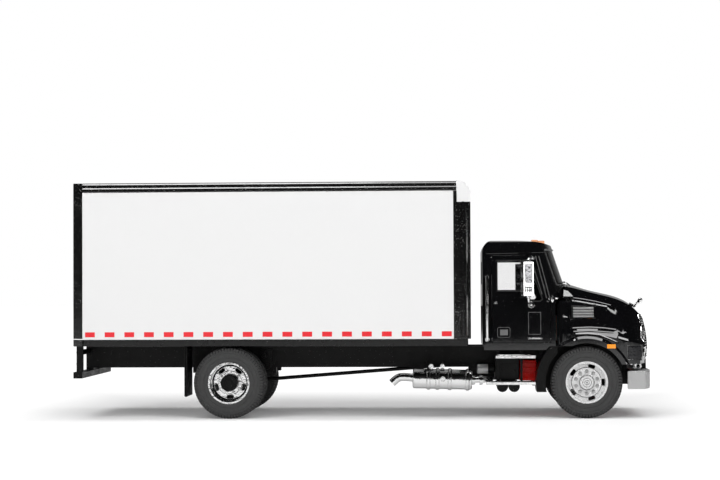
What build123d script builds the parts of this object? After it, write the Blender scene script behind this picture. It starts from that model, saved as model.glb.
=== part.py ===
"""A 1:34 die-cast model of a conventional-cab box truck, as separate pieces.

Millimetres, at the model's own size. X points forward, Y to the truck's left and Z up.
The origin is on the ground, under the middle of the model's length.
"""
from build123d import *
from math import atan2, cos, degrees, radians, sin
import os

# ---------------------------------------------------------------- layout along the truck
wheelbase = 154.8
front_reach = 28.85          # front axle to the bumper's foremost point
cab_setback = 44.65          # front axle back to the cab's rear wall
cab_box_gap = 5.0
box_length = 172.8
guard_proud = 0.5            # how far the rear guard stands behind the box

# ---------------------------------------------------------------- wheels and axles
tyre_radius = 15.5
tyre_width = 8.2
tyre_shoulder = 1.3
tyre_blocks = 60             # tread blocks round a tyre, each one flat of its outline
rim_radius = 9.1
front_track_outer = 70.5     # across the front tyres' outer walls
rear_track_outer = 72.0      # across the rear tyres' outer walls
dual_gap = 1.5               # between the two tyres of a rear pair
rim_edge = 0.3               # the rim's edge lies this far inside the tyre's wall
rim_wall = 0.9
disc_thickness = 1.0
front_disc_depth = 2.4       # from the tyre's outer wall in to the disc
front_hub_radius = 2.8
front_hub_rise = 2.3
rear_disc_depth = 6.0
rear_hub_radius = 3.5
rear_hub_rise = 4.0
nut_step_radius = 6.3        # the raised middle of a front disc, which carries the nuts
rear_nut_step_radius = 5.2
dual_band_radius = 6.3       # the drum between the two rims of a rear pair
nut_step_rise = 0.7
hand_hole_length = 3.2       # along the rim
hand_hole_width = 1.5
hand_hole_count = 5
front_hand_hole_circle = 7.2
rear_hand_hole_circle = 6.2
spindle_radius = 1.4
spindle_clearance = 0.05
spindle_end_gap = 0.3
hub_cap_thickness = 1.0
brake_radius = 5.6
brake_width = 5.0
axle_beam_height = 2.4
front_axle_drop = 1.2        # the beam's middle sits this far under the wheel centres
axle_tube_radius = 2.2

# ---------------------------------------------------------------- chassis
frame_top = 30.6
frame_height = 9.2
frame_width = 25.0           # across the rails' outer faces
rail_flange = 3.4
rail_wall = 0.8
crossmember_depth = 3.0
crossmember_height = 4.4
spring_width = 2.4
spring_thickness = 1.9
front_spring_length = 27.0
rear_spring_length = 34.0
shaft_radius = 0.82

# ---------------------------------------------------------------- box body
box_width = 75.0
box_bottom = 34.5            # lower edge of the side panels
box_height = 68.1
box_wall = 1.2
floor_thickness = 1.5
underframe_height = 2.9
rear_frame_depth = 4.0
rear_post_width = 4.2
rear_header_height = 5.6
rear_sill_height = 2.4
top_rail_height = 4.1
top_rail_proud = 0.35
front_post_depth = 6.1
front_post_width = 4.5
corner_cap_height = 9.4
corner_radius = 6.0
door_slat_count = 6
door_recess = 1.6
door_gap = 0.15

# ---------------------------------------------------------------- cab
cab_length = 31.6            # rear wall to the firewall
cab_width = 62.0
cab_bottom = 31.0
cab_wall = 1.2
cab_belt = 54.0              # where the sides start to lean inwards
cab_roof_width = 57.4
cab_roof_edge = 75.4
cab_roof_crown = 77.4
cab_rear_radius = 5.6
roof_front = (30.0, 75.05)   # where the roof meets its brow: from the rear wall, height
roof_bulge = 0.75            # how far the roof's fall to the front bows up
brow_foot_z = 73.5           # where the brow meets the windscreen
cowl_height = 52.0
screen_foot = (37.3, 56.6)   # foot of the windscreen's centre: from the rear wall, height
screen_head = (31.3, 74.4)   # head of the windscreen's centre: from the rear wall, height
screen_bow = 5.6             # how far the windscreen bulges between its sides
panel_gap = 0.2
glass_thickness = 0.6

# ---------------------------------------------------------------- hood
hood_gap = 0.8               # between the cab and the hood
hood_wall = 1.2
hood_rear_edge = 31.2        # height of the hood's rear lower edge
hood_front_edge = 23.2       # height of the hood's front lower edge
arch_radius = 16.9
flare_radius = 19.9
flare_outer = 35.3           # half width over the wheel arch flares
grille_foot = 25.2
nose_plan_radius = 102.0     # the front face's round, seen from above
hood_hinge = (26.6, 22.0)    # from the front axle, height
hood_rise_slope = 0.8        # how far the opening hood moves forward for each mm it rises
hinge_pin_radius = 0.5
hinge_clearance = 0.06

# ---------------------------------------------------------------- bumpers
bumper_width = 70.0
bumper_bottom = 12.6
bumper_height = 7.8
bumper_wall = 1.1
bumper_bow = 3.6             # the middle stands this far ahead of the ends
bumper_return = 7.8          # length of the ends that run back
guard_bottom = 17.6
guard_bar_height = 2.8
guard_bar_depth = 4.0
guard_width = 70.0

# ---------------------------------------------------------------- places worked out from the sizes
front_bumper_x = (front_reach + cab_setback + cab_box_gap + box_length + guard_proud) / 2
front_axle_x = front_bumper_x - front_reach
rear_axle_x = front_axle_x - wheelbase
cab_rear_x = front_axle_x - cab_setback
firewall_x = cab_rear_x + cab_length
box_front_x = cab_rear_x - cab_box_gap
box_rear_x = box_front_x - box_length
guard_rear_x = box_rear_x - guard_proud
box_top = box_bottom + box_height
frame_bottom = frame_top - frame_height
rail_face = frame_width / 2
half_box = box_width / 2
half_cab = cab_width / 2

SIDES = (("right", -1), ("left", 1))
parts = {}


def block(x0, x1, y0, y1, z0, z1):
    """A box between two corners."""
    return Pos((x0 + x1) / 2, (y0 + y1) / 2, (z0 + z1) / 2) * Box(abs(x1 - x0), abs(y1 - y0), abs(z1 - z0))


def rod(start, end, radius):
    """A round bar between two points."""
    path = Vector(*end) - Vector(*start)
    middle = (Vector(*start) + Vector(*end)) * 0.5
    return Plane(origin=middle, z_dir=path) * Cylinder(radius, path.length)


def side_prism(points, y0, y1):
    """An XZ outline given as (x, z) points, carried from y0 to y1."""
    face = make_face(Polyline(*[(x, 0, z) for x, z in points], close=True))
    return Pos(0, min(y0, y1), 0) * extrude(face, abs(y1 - y0), dir=(0, 1, 0))


def across(points, x0, x1):
    """A YZ outline given as (y, z) points, carried from x0 to x1."""
    face = make_face(Polyline(*[(0, y, z) for y, z in points], close=True))
    return Pos(min(x0, x1), 0, 0) * extrude(face, abs(x1 - x0), dir=(1, 0, 0))


def mirrored(shape):
    """A shape and its twin on the other side of the truck."""
    return [shape, shape.mirror(Plane.XZ)]


# ================================================================ chassis
rail_inner = rail_face - rail_flange
frame_rear_x = guard_rear_x + guard_bar_depth + 0.6
frame_front_x = front_bumper_x - bumper_bow - bumper_wall - 5.0


def rail(sign):
    """One C-section side rail, its open side facing the middle."""
    channel = block(frame_rear_x, frame_front_x, rail_inner, rail_face, frame_bottom, frame_top)
    hollow = block(
        frame_rear_x, frame_front_x, rail_inner, rail_face - rail_wall, frame_bottom + rail_wall, frame_top - rail_wall
    )
    shape = channel - hollow
    return shape if sign > 0 else shape.mirror(Plane.XZ)


crossmember_x = [
    frame_rear_x + 2.0,
    rear_axle_x - rear_spring_length / 2 - 4.0,
    rear_axle_x + rear_spring_length / 2 + 6.0,
    rear_axle_x + 0.42 * wheelbase,
    cab_rear_x - 8.0,
    frame_front_x - 1.5,
]
frame = rail(1) + rail(-1)
for x in crossmember_x:
    frame += block(
        x - crossmember_depth / 2, x + crossmember_depth / 2, -rail_face + rail_wall, rail_face - rail_wall,
        frame_top - 1.2 - crossmember_height, frame_top - 1.2,
    )
# pads on the rails that carry the cab
for x in (cab_rear_x + 4.0, firewall_x - 3.0):
    for sign in (-1, 1):
        frame += block(x - 2.0, x + 2.0, sign * rail_inner, sign * rail_face, frame_top, cab_bottom)
parts["chassis_frame"] = frame

# ---------------------------------------------------------------- leaf springs
# columns: axle x, length
axle_height = tyre_radius
spring_rows = (
    (front_axle_x, front_spring_length),
    (rear_axle_x, rear_spring_length),
)
spring_y = rail_face - spring_width / 2 - 0.4
spring_seat = axle_height + 2.2
spring_rise = frame_bottom - spring_seat - spring_thickness
springs = []
for axle_x, length in spring_rows:
    rear_x = axle_x - length / 2
    front_x = axle_x + length / 2
    low_z = spring_seat + spring_rise
    outline = make_face(
        ThreePointArc((rear_x, 0, low_z), (axle_x, 0, spring_seat), (front_x, 0, low_z))
        + Line((front_x, 0, low_z), (front_x, 0, frame_bottom))
        + ThreePointArc((front_x, 0, frame_bottom), (axle_x, 0, spring_seat + spring_thickness), (rear_x, 0, frame_bottom))
        + Line((rear_x, 0, frame_bottom), (rear_x, 0, low_z))
    )
    springs += mirrored(Pos(0, spring_y - spring_width / 2, 0) * extrude(outline, spring_width, dir=(0, 1, 0)))
parts["leaf_springs"] = Compound(springs)

# ---------------------------------------------------------------- axles
front_wall_y = front_track_outer / 2
rear_wall_y = rear_track_outer / 2
front_inner_y = front_wall_y - tyre_width
front_disc_back = front_disc_depth + disc_thickness
rear_disc_back = 2 * tyre_width + dual_gap - rear_disc_depth
brake_gap = 0.8
front_hub_out = front_disc_depth - nut_step_rise - front_hub_rise
rear_hub_out = rear_disc_depth - nut_step_rise - rear_hub_rise

# columns: sign, and for each side the same beam, knuckle, brake drum and spindle
beam_z = axle_height - front_axle_drop
front_brake_out = front_wall_y - front_disc_back - brake_gap
front_spindle_end = front_wall_y - front_hub_out - hub_cap_thickness - spindle_end_gap
beam = block(
    front_axle_x - 1.4, front_axle_x + 1.4, -front_inner_y + 4.6, front_inner_y - 4.6,
    beam_z - axle_beam_height / 2, beam_z + axle_beam_height / 2,
)
for sign in (-1, 1):
    beam += block(
        front_axle_x - 2.4, front_axle_x + 2.4, sign * (spring_y - 1.4), sign * (spring_y + 1.4), beam_z, spring_seat
    )
    beam += block(
        front_axle_x - 1.8, front_axle_x + 1.8, sign * (front_inner_y - 5.0), sign * (front_inner_y - 2.2),
        axle_height - 3.4, axle_height + 3.4,
    )
    drum_in = (front_axle_x, sign * (front_brake_out - brake_width), axle_height)
    drum_out = (front_axle_x, sign * front_brake_out, axle_height)
    beam += rod((front_axle_x, sign * (front_inner_y - 3.0), axle_height), drum_out, spindle_radius + 0.8)
    beam += rod(drum_in, drum_out, brake_radius)
    beam += rod(drum_out, (front_axle_x, sign * front_spindle_end, axle_height), spindle_radius)
parts["front_axle"] = beam

rear_brake_out = rear_wall_y - rear_disc_back - brake_gap
rear_spindle_end = rear_wall_y - rear_hub_out - hub_cap_thickness - spindle_end_gap
pinion_end = (rear_axle_x + 7.5, 0, axle_height - 0.4)
housing = rod((rear_axle_x, -rear_brake_out, axle_height), (rear_axle_x, rear_brake_out, axle_height), axle_tube_radius)
housing += Pos(rear_axle_x, 0, axle_height) * Sphere(5.0)
housing += rod((rear_axle_x, 0, axle_height), pinion_end, 2.3)
for sign in (-1, 1):
    housing += block(
        rear_axle_x - 2.4, rear_axle_x + 2.4, sign * (spring_y - 1.4), sign * (spring_y + 1.4), axle_height, spring_seat
    )
    drum_in = (rear_axle_x, sign * (rear_brake_out - brake_width), axle_height)
    drum_out = (rear_axle_x, sign * rear_brake_out, axle_height)
    housing += rod(drum_in, drum_out, brake_radius)
    housing += rod(drum_out, (rear_axle_x, sign * rear_spindle_end, axle_height), spindle_radius)
parts["rear_axle_housing"] = housing

# ---------------------------------------------------------------- drive line
gearbox_rear = (cab_rear_x + 13.8, 0, 24.0)
shaft_rise = atan2(gearbox_rear[2] - pinion_end[2], gearbox_rear[0] - pinion_end[0])
shaft_gap = 0.1
shaft_start = (pinion_end[0] + shaft_gap, 0, pinion_end[2] + shaft_gap * sin(shaft_rise))
shaft_end = (gearbox_rear[0] - shaft_gap, 0, gearbox_rear[2])
parts["drive_shaft"] = rod(shaft_start, shaft_end, shaft_radius)

gearbox_front_x = firewall_x + 2.0
gearbox = block(gearbox_rear[0], gearbox_front_x, -7.5, 7.5, 17.0, 28.6)
cooler_rear_x = cab_rear_x + 16.2
cooler_front_x = cab_rear_x + 23.6
gearbox += block(cooler_rear_x, cooler_front_x, -19.0, 0, 15.6, 21.0)
gearbox += block(cooler_rear_x, cooler_front_x, -19.0, -rail_face - 0.3, 20.9, 24.6)
parts["gearbox"] = gearbox

engine_length = 26.0
engine = block(gearbox_front_x, gearbox_front_x + engine_length, -7.8, 7.8, 19.5, 44.0)
parts["engine"] = engine

radiator_x = gearbox_front_x + engine_length + 1.6
parts["radiator"] = block(radiator_x, radiator_x + 2.4, -11.5, 11.5, frame_top, 40.5)


# ================================================================ wheels
def wheel_turned(points, axle_x, outer_y, sign):
    """A section given as (radius, depth in from the tyre's outer wall), turned about an axle."""
    outline = make_face(Polyline(*[(radius, -depth, 0) for radius, depth in points], close=True))
    ring = Pos(axle_x, outer_y, axle_height) * revolve(outline, Axis.Y)
    return ring if sign > 0 else ring.mirror(Plane.XZ)


def tyre_outline(radius, depth):
    """A tyre's outline at a depth in from its outer wall, with a flat for each tread block."""
    corners = [radians(360 / tyre_blocks * index) for index in range(tyre_blocks)]
    return make_face(Polyline(*[(radius * cos(angle), -depth, radius * sin(angle)) for angle in corners], close=True))


def tyre_slice(radius0, depth0, radius1, depth1):
    """A slice of a tyre between two outlines."""
    return loft([tyre_outline(radius0, depth0), tyre_outline(radius1, depth1)], ruled=True)


tyre_wall_radius = tyre_radius - tyre_shoulder
bead_radius = rim_radius / cos(radians(180 / tyre_blocks))
inner_shoulder = tyre_width - tyre_shoulder
tyre_ring = tyre_slice(tyre_wall_radius, 0, tyre_radius, tyre_shoulder)
tyre_ring += tyre_slice(tyre_radius, tyre_shoulder, tyre_radius, inner_shoulder)
tyre_ring += tyre_slice(tyre_radius, inner_shoulder, tyre_wall_radius, tyre_width)
tyre_ring -= tyre_slice(tyre_wall_radius, 0, bead_radius, rim_edge)
tyre_ring -= tyre_slice(bead_radius, rim_edge, bead_radius, tyre_width - rim_edge)
tyre_ring -= tyre_slice(bead_radius, tyre_width - rim_edge, tyre_wall_radius, tyre_width)


def tyre_placed(axle_x, outer_y, depth, sign):
    """A tyre on its axle, its outer wall at a depth in from the wheel's outer face."""
    placed = Pos(axle_x, outer_y - depth, axle_height) * tyre_ring
    return placed if sign > 0 else placed.mirror(Plane.XZ)


bore_radius = spindle_radius + spindle_clearance
front_rim_section = (
    (0, front_hub_out),
    (front_hub_radius, front_hub_out),
    (front_hub_radius, front_disc_depth - nut_step_rise),
    (nut_step_radius, front_disc_depth - nut_step_rise),
    (nut_step_radius, front_disc_depth),
    (rim_radius - rim_wall, front_disc_depth),
    (rim_radius - rim_wall, rim_edge),
    (rim_radius, rim_edge),
    (rim_radius, tyre_width - rim_edge),
    (rim_radius - rim_wall, tyre_width - rim_edge),
    (rim_radius - rim_wall, front_disc_back),
    (bore_radius, front_disc_back),
    (bore_radius, front_hub_out + hub_cap_thickness),
    (0, front_hub_out + hub_cap_thickness),
)
dual_width = 2 * tyre_width + dual_gap
rear_rim_section = (
    (0, rear_hub_out),
    (rear_hub_radius, rear_hub_out),
    (rear_hub_radius, rear_disc_depth - nut_step_rise),
    (rear_nut_step_radius, rear_disc_depth - nut_step_rise),
    (rear_nut_step_radius, rear_disc_depth),
    (rim_radius - rim_wall, rear_disc_depth),
    (rim_radius - rim_wall, rim_edge),
    (rim_radius, rim_edge),
    (rim_radius, tyre_width - rim_edge),
    (dual_band_radius + rim_wall, tyre_width - rim_edge),
    (dual_band_radius + rim_wall, tyre_width + dual_gap + rim_edge),
    (rim_radius, tyre_width + dual_gap + rim_edge),
    (rim_radius, dual_width - rim_edge),
    (rim_radius - rim_wall, dual_width - rim_edge),
    (rim_radius - rim_wall, rear_disc_back),
    (bore_radius, rear_disc_back),
    (bore_radius, rear_hub_out + hub_cap_thickness),
    (0, rear_hub_out + hub_cap_thickness),
)
# columns: axle name, axle x, outer wall y, rim section, hand hole circle, first hole's angle, tyre depths
wheel_rows = (
    ("front", front_axle_x, front_wall_y, front_rim_section, front_hand_hole_circle, 0, (0.0,)),
    ("rear", rear_axle_x, rear_wall_y, rear_rim_section, rear_hand_hole_circle, -90, (0.0, tyre_width + dual_gap)),
)
for axle, axle_x, outer_y, rim_section, hole_circle, first_angle, depths in wheel_rows:
    for side, sign in SIDES:
        tyres = [tyre_placed(axle_x, outer_y, depth, sign) for depth in depths]
        parts[f"tyre_{axle}_{side}"] = tyres[0] if len(tyres) == 1 else Compound(tyres)
        rim = wheel_turned(rim_section, axle_x, outer_y, sign)
        for index in range(hand_hole_count):
            angle = first_angle + 360 / hand_hole_count * index
            hole = Pos(0, hole_circle, 0) * SlotOverall(hand_hole_length, hand_hole_width)
            hole = Rot(0, 0, angle - 90) * extrude(hole, outer_y + 1)
            rim -= Pos(axle_x, 0, axle_height) * Rot(-90 * sign, 0, 0) * hole
        parts[f"rim_{axle}_{side}"] = rim


# ================================================================ box body
panel_rear_x = box_rear_x + rear_frame_depth
panel_front_x = box_front_x - front_post_depth
underframe_top = box_bottom
underframe_bottom = box_bottom - underframe_height
sill_inset = 1.4
sill_width = 2.6
floor_top = box_bottom + floor_thickness
inner_half_box = half_box - box_wall

underframe = block(
    panel_rear_x, box_front_x - box_wall, -half_box + sill_inset, half_box - sill_inset, underframe_bottom, underframe_top
)
cross_sill_count = 11
cross_sill_width = 3.0
bay = (box_front_x - box_wall - panel_rear_x - cross_sill_width) / (cross_sill_count - 1)
for index in range(cross_sill_count - 1):
    bay_start = panel_rear_x + cross_sill_width + bay * index
    bay_end = bay_start + bay - cross_sill_width
    underframe -= block(
        bay_start, bay_end, -half_box + sill_inset + sill_width, -rail_face, underframe_bottom, underframe_top
    )
    underframe -= block(bay_start, bay_end, rail_face, half_box - sill_inset - sill_width, underframe_bottom, underframe_top)
    underframe -= block(bay_start, bay_end, -rail_inner, rail_inner, underframe_bottom, underframe_top)
for sign in (-1, 1):
    underframe += block(
        frame_rear_x, box_front_x - 2.0, sign * rail_inner, sign * rail_face, frame_top, underframe_bottom
    )
parts["box_underframe"] = underframe

parts["box_floor"] = block(
    panel_rear_x, box_front_x - box_wall, -inner_half_box, inner_half_box, box_bottom, floor_top
)
rail_bottom = box_top - top_rail_height
top_rails = []
for side, sign in SIDES:
    parts[f"box_side_{side}"] = block(
        panel_rear_x, panel_front_x, sign * inner_half_box, sign * half_box, box_bottom, rail_bottom
    )
    rail_outline = (
        (sign * inner_half_box, rail_bottom),
        (sign * (half_box + top_rail_proud), rail_bottom),
        (sign * (half_box + top_rail_proud), box_top - 0.5),
        (sign * (half_box + top_rail_proud - 0.5), box_top),
        (sign * inner_half_box, box_top),
    )
    top_rail = across(rail_outline, panel_rear_x, panel_front_x)
    groove_z = rail_bottom + 0.45 * top_rail_height
    top_rail -= block(
        panel_rear_x, panel_front_x, sign * half_box, sign * (half_box + top_rail_proud), groove_z, groove_z + 0.5
    )
    top_rails.append(top_rail)
parts["top_rails"] = Compound(top_rails)

roof_thickness = 1.0
parts["box_roof"] = block(
    panel_rear_x, panel_front_x, -inner_half_box, inner_half_box, box_top - roof_thickness - 0.3, box_top - 0.3
)

# front wall with its corner posts, and the rounded header above them
post_top = box_top + 0.4 - corner_cap_height
wall_x = box_front_x - box_wall
parts["box_front_wall"] = block(
    wall_x, box_front_x, -half_box + front_post_width, half_box - front_post_width, box_bottom, post_top
)
post_groove = 0.7
post_groove_depth = 0.4
posts = []
for side, sign in SIDES:
    post = block(
        panel_front_x, box_front_x, sign * (half_box - front_post_width), sign * half_box, box_bottom, post_top
    )
    post -= block(
        panel_front_x, wall_x, sign * (half_box - front_post_width), sign * inner_half_box, box_bottom, post_top
    )
    for index in range(3):
        groove_x = panel_front_x + 1.2 + 1.5 * index
        post -= block(
            groove_x, groove_x + post_groove, sign * (half_box - post_groove_depth), sign * half_box, box_bottom, post_top
        )
    posts.append(post)
parts["front_posts"] = Compound(posts)
header_top = box_top + 0.4


def header_form(radius, x_front, y_half, z_top):
    """The header's side outline, rounded at its front upper edge, carried across the box."""
    centre_x = x_front - radius
    centre_z = z_top - radius
    arc = ThreePointArc(
        (x_front, 0, centre_z),
        (centre_x + radius * cos(radians(45)), 0, centre_z + radius * sin(radians(45))),
        (centre_x, 0, z_top),
    )
    straight = Polyline((centre_x, 0, z_top), (panel_front_x, 0, z_top), (panel_front_x, 0, post_top),
                        (x_front, 0, post_top), (x_front, 0, centre_z))
    return Pos(0, -y_half, 0) * extrude(make_face(straight + arc), 2 * y_half, dir=(0, 1, 0))


header = header_form(corner_radius, box_front_x, half_box, header_top)
header -= header_form(corner_radius - box_wall, wall_x, inner_half_box, header_top - box_wall)
parts["front_header"] = header

# rear frame, with lamp seats left to the lamps that stand on it
door_half = half_box - rear_post_width
door_top = box_top - rear_header_height
rear_frame_bottom = underframe_bottom
rear_frame = block(box_rear_x, panel_rear_x, -half_box, half_box, rear_frame_bottom, box_top)
rear_frame -= block(box_rear_x, panel_rear_x, -door_half, door_half, rear_frame_bottom + rear_sill_height + 2.0, door_top)
parts["rear_frame"] = rear_frame
door_bottom = rear_frame_bottom + rear_sill_height + 2.0

door_thickness = 1.2
slat_height = (door_top - door_bottom - 2 * door_gap) / door_slat_count
door = None
for index in range(door_slat_count):
    slat_z = door_bottom + door_gap + slat_height * index
    slat = block(
        box_rear_x + door_recess, box_rear_x + door_recess + door_thickness,
        -door_half + door_gap, door_half - door_gap, slat_z, slat_z + slat_height,
    )
    if index:
        slat -= block(
            box_rear_x + door_recess, box_rear_x + door_recess + 0.3, -door_half, door_half, slat_z - 0.2, slat_z + 0.2
        )
    door = slat if door is None else door + slat
parts["roll_up_door"] = door

latch_z = door_bottom + 0.5 * slat_height
latch_x = box_rear_x + door_recess
parts["door_latch"] = block(latch_x - 1.0, latch_x, -3.2, 3.2, latch_z - 0.8, latch_z + 0.8) + block(
    latch_x - 0.7, latch_x, -0.9, 0.9, latch_z - 3.0, latch_z + 0.8
)

lamp_depth = 0.25
# columns: y from the middle, height, half width, half height
lamp_rows = (
    (0.0, box_top - 2.0, 1.1, 0.45),
    (5.0, box_top - 2.0, 1.1, 0.45),
    (-5.0, box_top - 2.0, 1.1, 0.45),
    (half_box - 2.4, box_top - 2.0, 1.1, 0.45),
    (-half_box + 2.4, box_top - 2.0, 1.1, 0.45),
    (half_box - 2.1, rear_frame_bottom + 7.0, 1.5, 1.5),
    (-half_box + 2.1, rear_frame_bottom + 7.0, 1.5, 1.5),
    (half_box - 2.1, rear_frame_bottom + 11.0, 1.5, 1.5),
    (-half_box + 2.1, rear_frame_bottom + 11.0, 1.5, 1.5),
)
lamps = [
    block(box_rear_x - lamp_depth, box_rear_x, y - half_y, y + half_y, z - half_z, z + half_z)
    for y, z, half_y, half_z in lamp_rows
]
parts["rear_lamps"] = Compound(lamps)


# ================================================================ cab
roof_round = 1.4
screen_foot_x = cab_rear_x + screen_foot[0]
screen_head_x = cab_rear_x + screen_head[0]
screen_rise = screen_head[1] - screen_foot[1]
screen_slope = (screen_foot_x - screen_head_x) / screen_rise
roof_front_x = cab_rear_x + roof_front[0]
roof_start_x = cab_rear_x + cab_rear_radius
screen_half = half_cab - 2.0


def bowed_outline(extra, z):
    """The cab's plan at height z, its front bowed like the windscreen's foot, grown forward by extra."""
    middle_x = screen_foot_x + (screen_foot[1] - z) * screen_slope + extra
    side_x = middle_x - screen_bow
    reach = half_cab + 4.0
    reach_x = middle_x - screen_bow * (reach / screen_half) ** 2
    front = ThreePointArc((reach_x, -reach, z), (middle_x, 0, z), (reach_x, reach, z))
    back = Polyline((reach_x, reach, z), (cab_rear_x - 20, reach, z), (cab_rear_x - 20, -reach, z), (reach_x, -reach, z))
    return make_face(front + back)


def bowed_column(extra):
    """Everything behind the windscreen's curved, leaning surface."""
    low = cab_bottom - 12.0
    tall = cab_roof_crown + 8.0 - low
    lean = Vector(-screen_slope, 0, 1)
    return extrude(bowed_outline(extra, low), tall * lean.length, dir=lean.normalized())


def cab_form(inset):
    """The cab's outer shape, drawn in on every side by inset."""
    rear = cab_rear_x + inset
    crown = cab_roof_crown - inset
    bottom = cab_bottom + inset
    radius = cab_rear_radius - inset
    cowl = cowl_height - inset
    corner = (rear + radius * (1 - cos(radians(45))), 0, crown - radius * (1 - sin(radians(45))))
    cowl_x = screen_foot_x + (screen_foot[1] - cowl) * screen_slope
    roof_end = (roof_front_x - 0.6 * inset, 0, roof_front[1] - inset)
    roof_middle = ((roof_start_x + roof_front_x) / 2, 0, (crown + roof_end[2]) / 2 + roof_bulge)
    brow_z = brow_foot_z - 0.6 * inset
    brow_end = (screen_foot_x + (screen_foot[1] - brow_z) * screen_slope, 0, brow_z)
    brow_bulge = 0.2 * (roof_end[2] - brow_z)
    brow = ((roof_end[0] + brow_end[0]) / 2 + brow_bulge, 0, (roof_end[2] + brow_end[2]) / 2 + brow_bulge)
    side_face = make_face(
        ThreePointArc((rear, 0, crown - radius), corner, (rear + radius, 0, crown))
        + ThreePointArc((rear + radius, 0, crown), roof_middle, roof_end)
        + ThreePointArc(roof_end, brow, brow_end)
        + Polyline(brow_end, (cowl_x, 0, cowl), (firewall_x - inset, 0, cowl),
                   (firewall_x - inset, 0, bottom), (rear, 0, bottom), (rear, 0, crown - radius))
    )
    half = half_cab - inset
    roof_half = cab_roof_width / 2 - inset
    lean = (half - roof_half) / (cab_roof_edge - cab_belt)
    shoulder_z = cab_roof_edge - roof_round
    shoulder_y = half - lean * (shoulder_z - cab_belt)
    eave_y = roof_half - roof_round
    eave_z = cab_roof_edge + 1.1 - inset
    bend_y = roof_half - 0.25 * roof_round
    bend_z = cab_roof_edge - 0.2 * roof_round - 0.6 * inset
    front_face = make_face(
        Polyline((0, shoulder_y, shoulder_z), (0, half, cab_belt), (0, half, bottom), (0, -half, bottom),
                 (0, -half, cab_belt), (0, -shoulder_y, shoulder_z))
        + ThreePointArc((0, -shoulder_y, shoulder_z), (0, -bend_y, bend_z), (0, -eave_y, eave_z))
        + ThreePointArc((0, -eave_y, eave_z), (0, 0, crown), (0, eave_y, eave_z))
        + ThreePointArc((0, eave_y, eave_z), (0, bend_y, bend_z), (0, shoulder_y, shoulder_z))
    )
    form = Pos(0, -half_cab - 1, 0) * extrude(side_face, cab_width + 2, dir=(0, 1, 0))
    form &= Pos(cab_rear_x - 1, 0, 0) * extrude(front_face, cab_length + 20, dir=(1, 0, 0))
    form &= bowed_column(-inset)
    return form


def cab_side(z):
    """Half the cab's width at height z, below the roof's round."""
    lean = (half_cab - cab_roof_width / 2) / (cab_roof_edge - cab_belt)
    return half_cab - lean * max(0.0, z - cab_belt)


skin = cab_form(0)
shell = skin - cab_form(cab_wall)

# window openings, as outlines seen from the side and from the front
window_top = 68.3
window_sill = 55.0
window_rear_x = cab_rear_x + 6.4
side_window = (
    (window_rear_x, window_sill),
    (window_rear_x, window_top),
    (window_rear_x + 13.6, window_top),
    (window_rear_x + 19.6, 51.6),
    (window_rear_x + 18.6, 50.6),
    (window_rear_x + 14.6, 50.6),
    (window_rear_x + 12.4, window_sill),
)
screen_opening = ((-26.6, 57.9), (26.6, 57.9), (24.6, 72.6), (-24.6, 72.6))
rear_opening = ((-15.0, 58.0), (15.0, 58.0), (15.0, 68.0), (-15.0, 68.0))
glass_inset = 0.3
pane = cab_form(glass_inset) - cab_form(glass_inset + glass_thickness)
screen_prism = across(screen_opening, firewall_x - 9.0, screen_foot_x + 4)
rear_prism = across(rear_opening, cab_rear_x - 1, cab_rear_x + 3)
shell -= screen_prism
shell -= rear_prism
parts["windscreen"] = pane & screen_prism
parts["rear_window"] = pane & rear_prism

# doors, set in the shell with a shut line all round
door_rear_x = cab_rear_x + 4.2
door_front_x = cab_rear_x + 29.4
door_bottom_z = cab_bottom + 1.6
door_top_z = 70.4
door_outline = (
    (door_rear_x, door_bottom_z),
    (door_rear_x, door_top_z),
    (door_rear_x + 17.8, door_top_z),
    (door_front_x, 49.5),
    (door_front_x, door_bottom_z),
)
door_cut_outline = (
    (door_rear_x - panel_gap, door_bottom_z - panel_gap),
    (door_rear_x - panel_gap, door_top_z + panel_gap),
    (door_rear_x + 17.8 + panel_gap, door_top_z + panel_gap),
    (door_front_x + panel_gap, 49.5 + panel_gap),
    (door_front_x + panel_gap, door_bottom_z - panel_gap),
)
side_panes = []
for side, sign in SIDES:
    near = sign * (half_cab - 6.0)
    far = sign * (half_cab + 2.0)
    door_skin = (skin - cab_form(cab_wall)) & side_prism(door_outline, near, far)
    parts[f"door_{side}"] = door_skin - side_prism(side_window, near, far)
    shell -= side_prism(door_cut_outline, near, far)
    side_panes.append(pane & side_prism(side_window, near, far))
    shell += block(
        cab_rear_x + 0.6, firewall_x - 0.8, sign * (half_cab - 4.0), sign * (half_cab - 0.5), cab_bottom - 1.6, cab_bottom
    )
parts["side_windows"] = Compound(side_panes)
parts["cab_shell"] = shell

# ---------------------------------------------------------------- inside the cab
floor_z = cab_bottom + cab_wall
seat_base_height = 9.0
seats = []
for side, sign in SIDES:
    seat_y = sign * 14.0
    seat = block(cab_rear_x + 4.4, cab_rear_x + 15.0, seat_y - 5.0, seat_y + 5.0, floor_z + seat_base_height, floor_z + 12.4)
    seat += block(cab_rear_x + 5.4, cab_rear_x + 13.0, seat_y - 3.4, seat_y + 3.4, floor_z, floor_z + seat_base_height)
    seat += block(cab_rear_x + 2.2, cab_rear_x + 5.2, seat_y - 4.8, seat_y + 4.8, floor_z + seat_base_height, floor_z + 30.0)
    seats.append(seat)
parts["seats"] = Compound(seats)
dash_x = firewall_x - cab_wall
dash_top = cowl_height - 1.8
dash_depth = 6.4
dash_foot_depth = 4.0
dash_foot_z = floor_z + 10.0
dash_nose_drop = 3.7
dash_side_gap = 0.6
parts["dashboard"] = side_prism(
    (
        (dash_x, dash_foot_z),
        (dash_x, dash_top),
        (dash_x - dash_depth, dash_top),
        (dash_x - dash_depth - 1.2, dash_top - dash_nose_drop),
        (dash_x - dash_foot_depth, dash_foot_z),
    ),
    -half_cab + cab_wall + dash_side_gap, half_cab - cab_wall - dash_side_gap,
)
driver_y = 14.0
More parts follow.
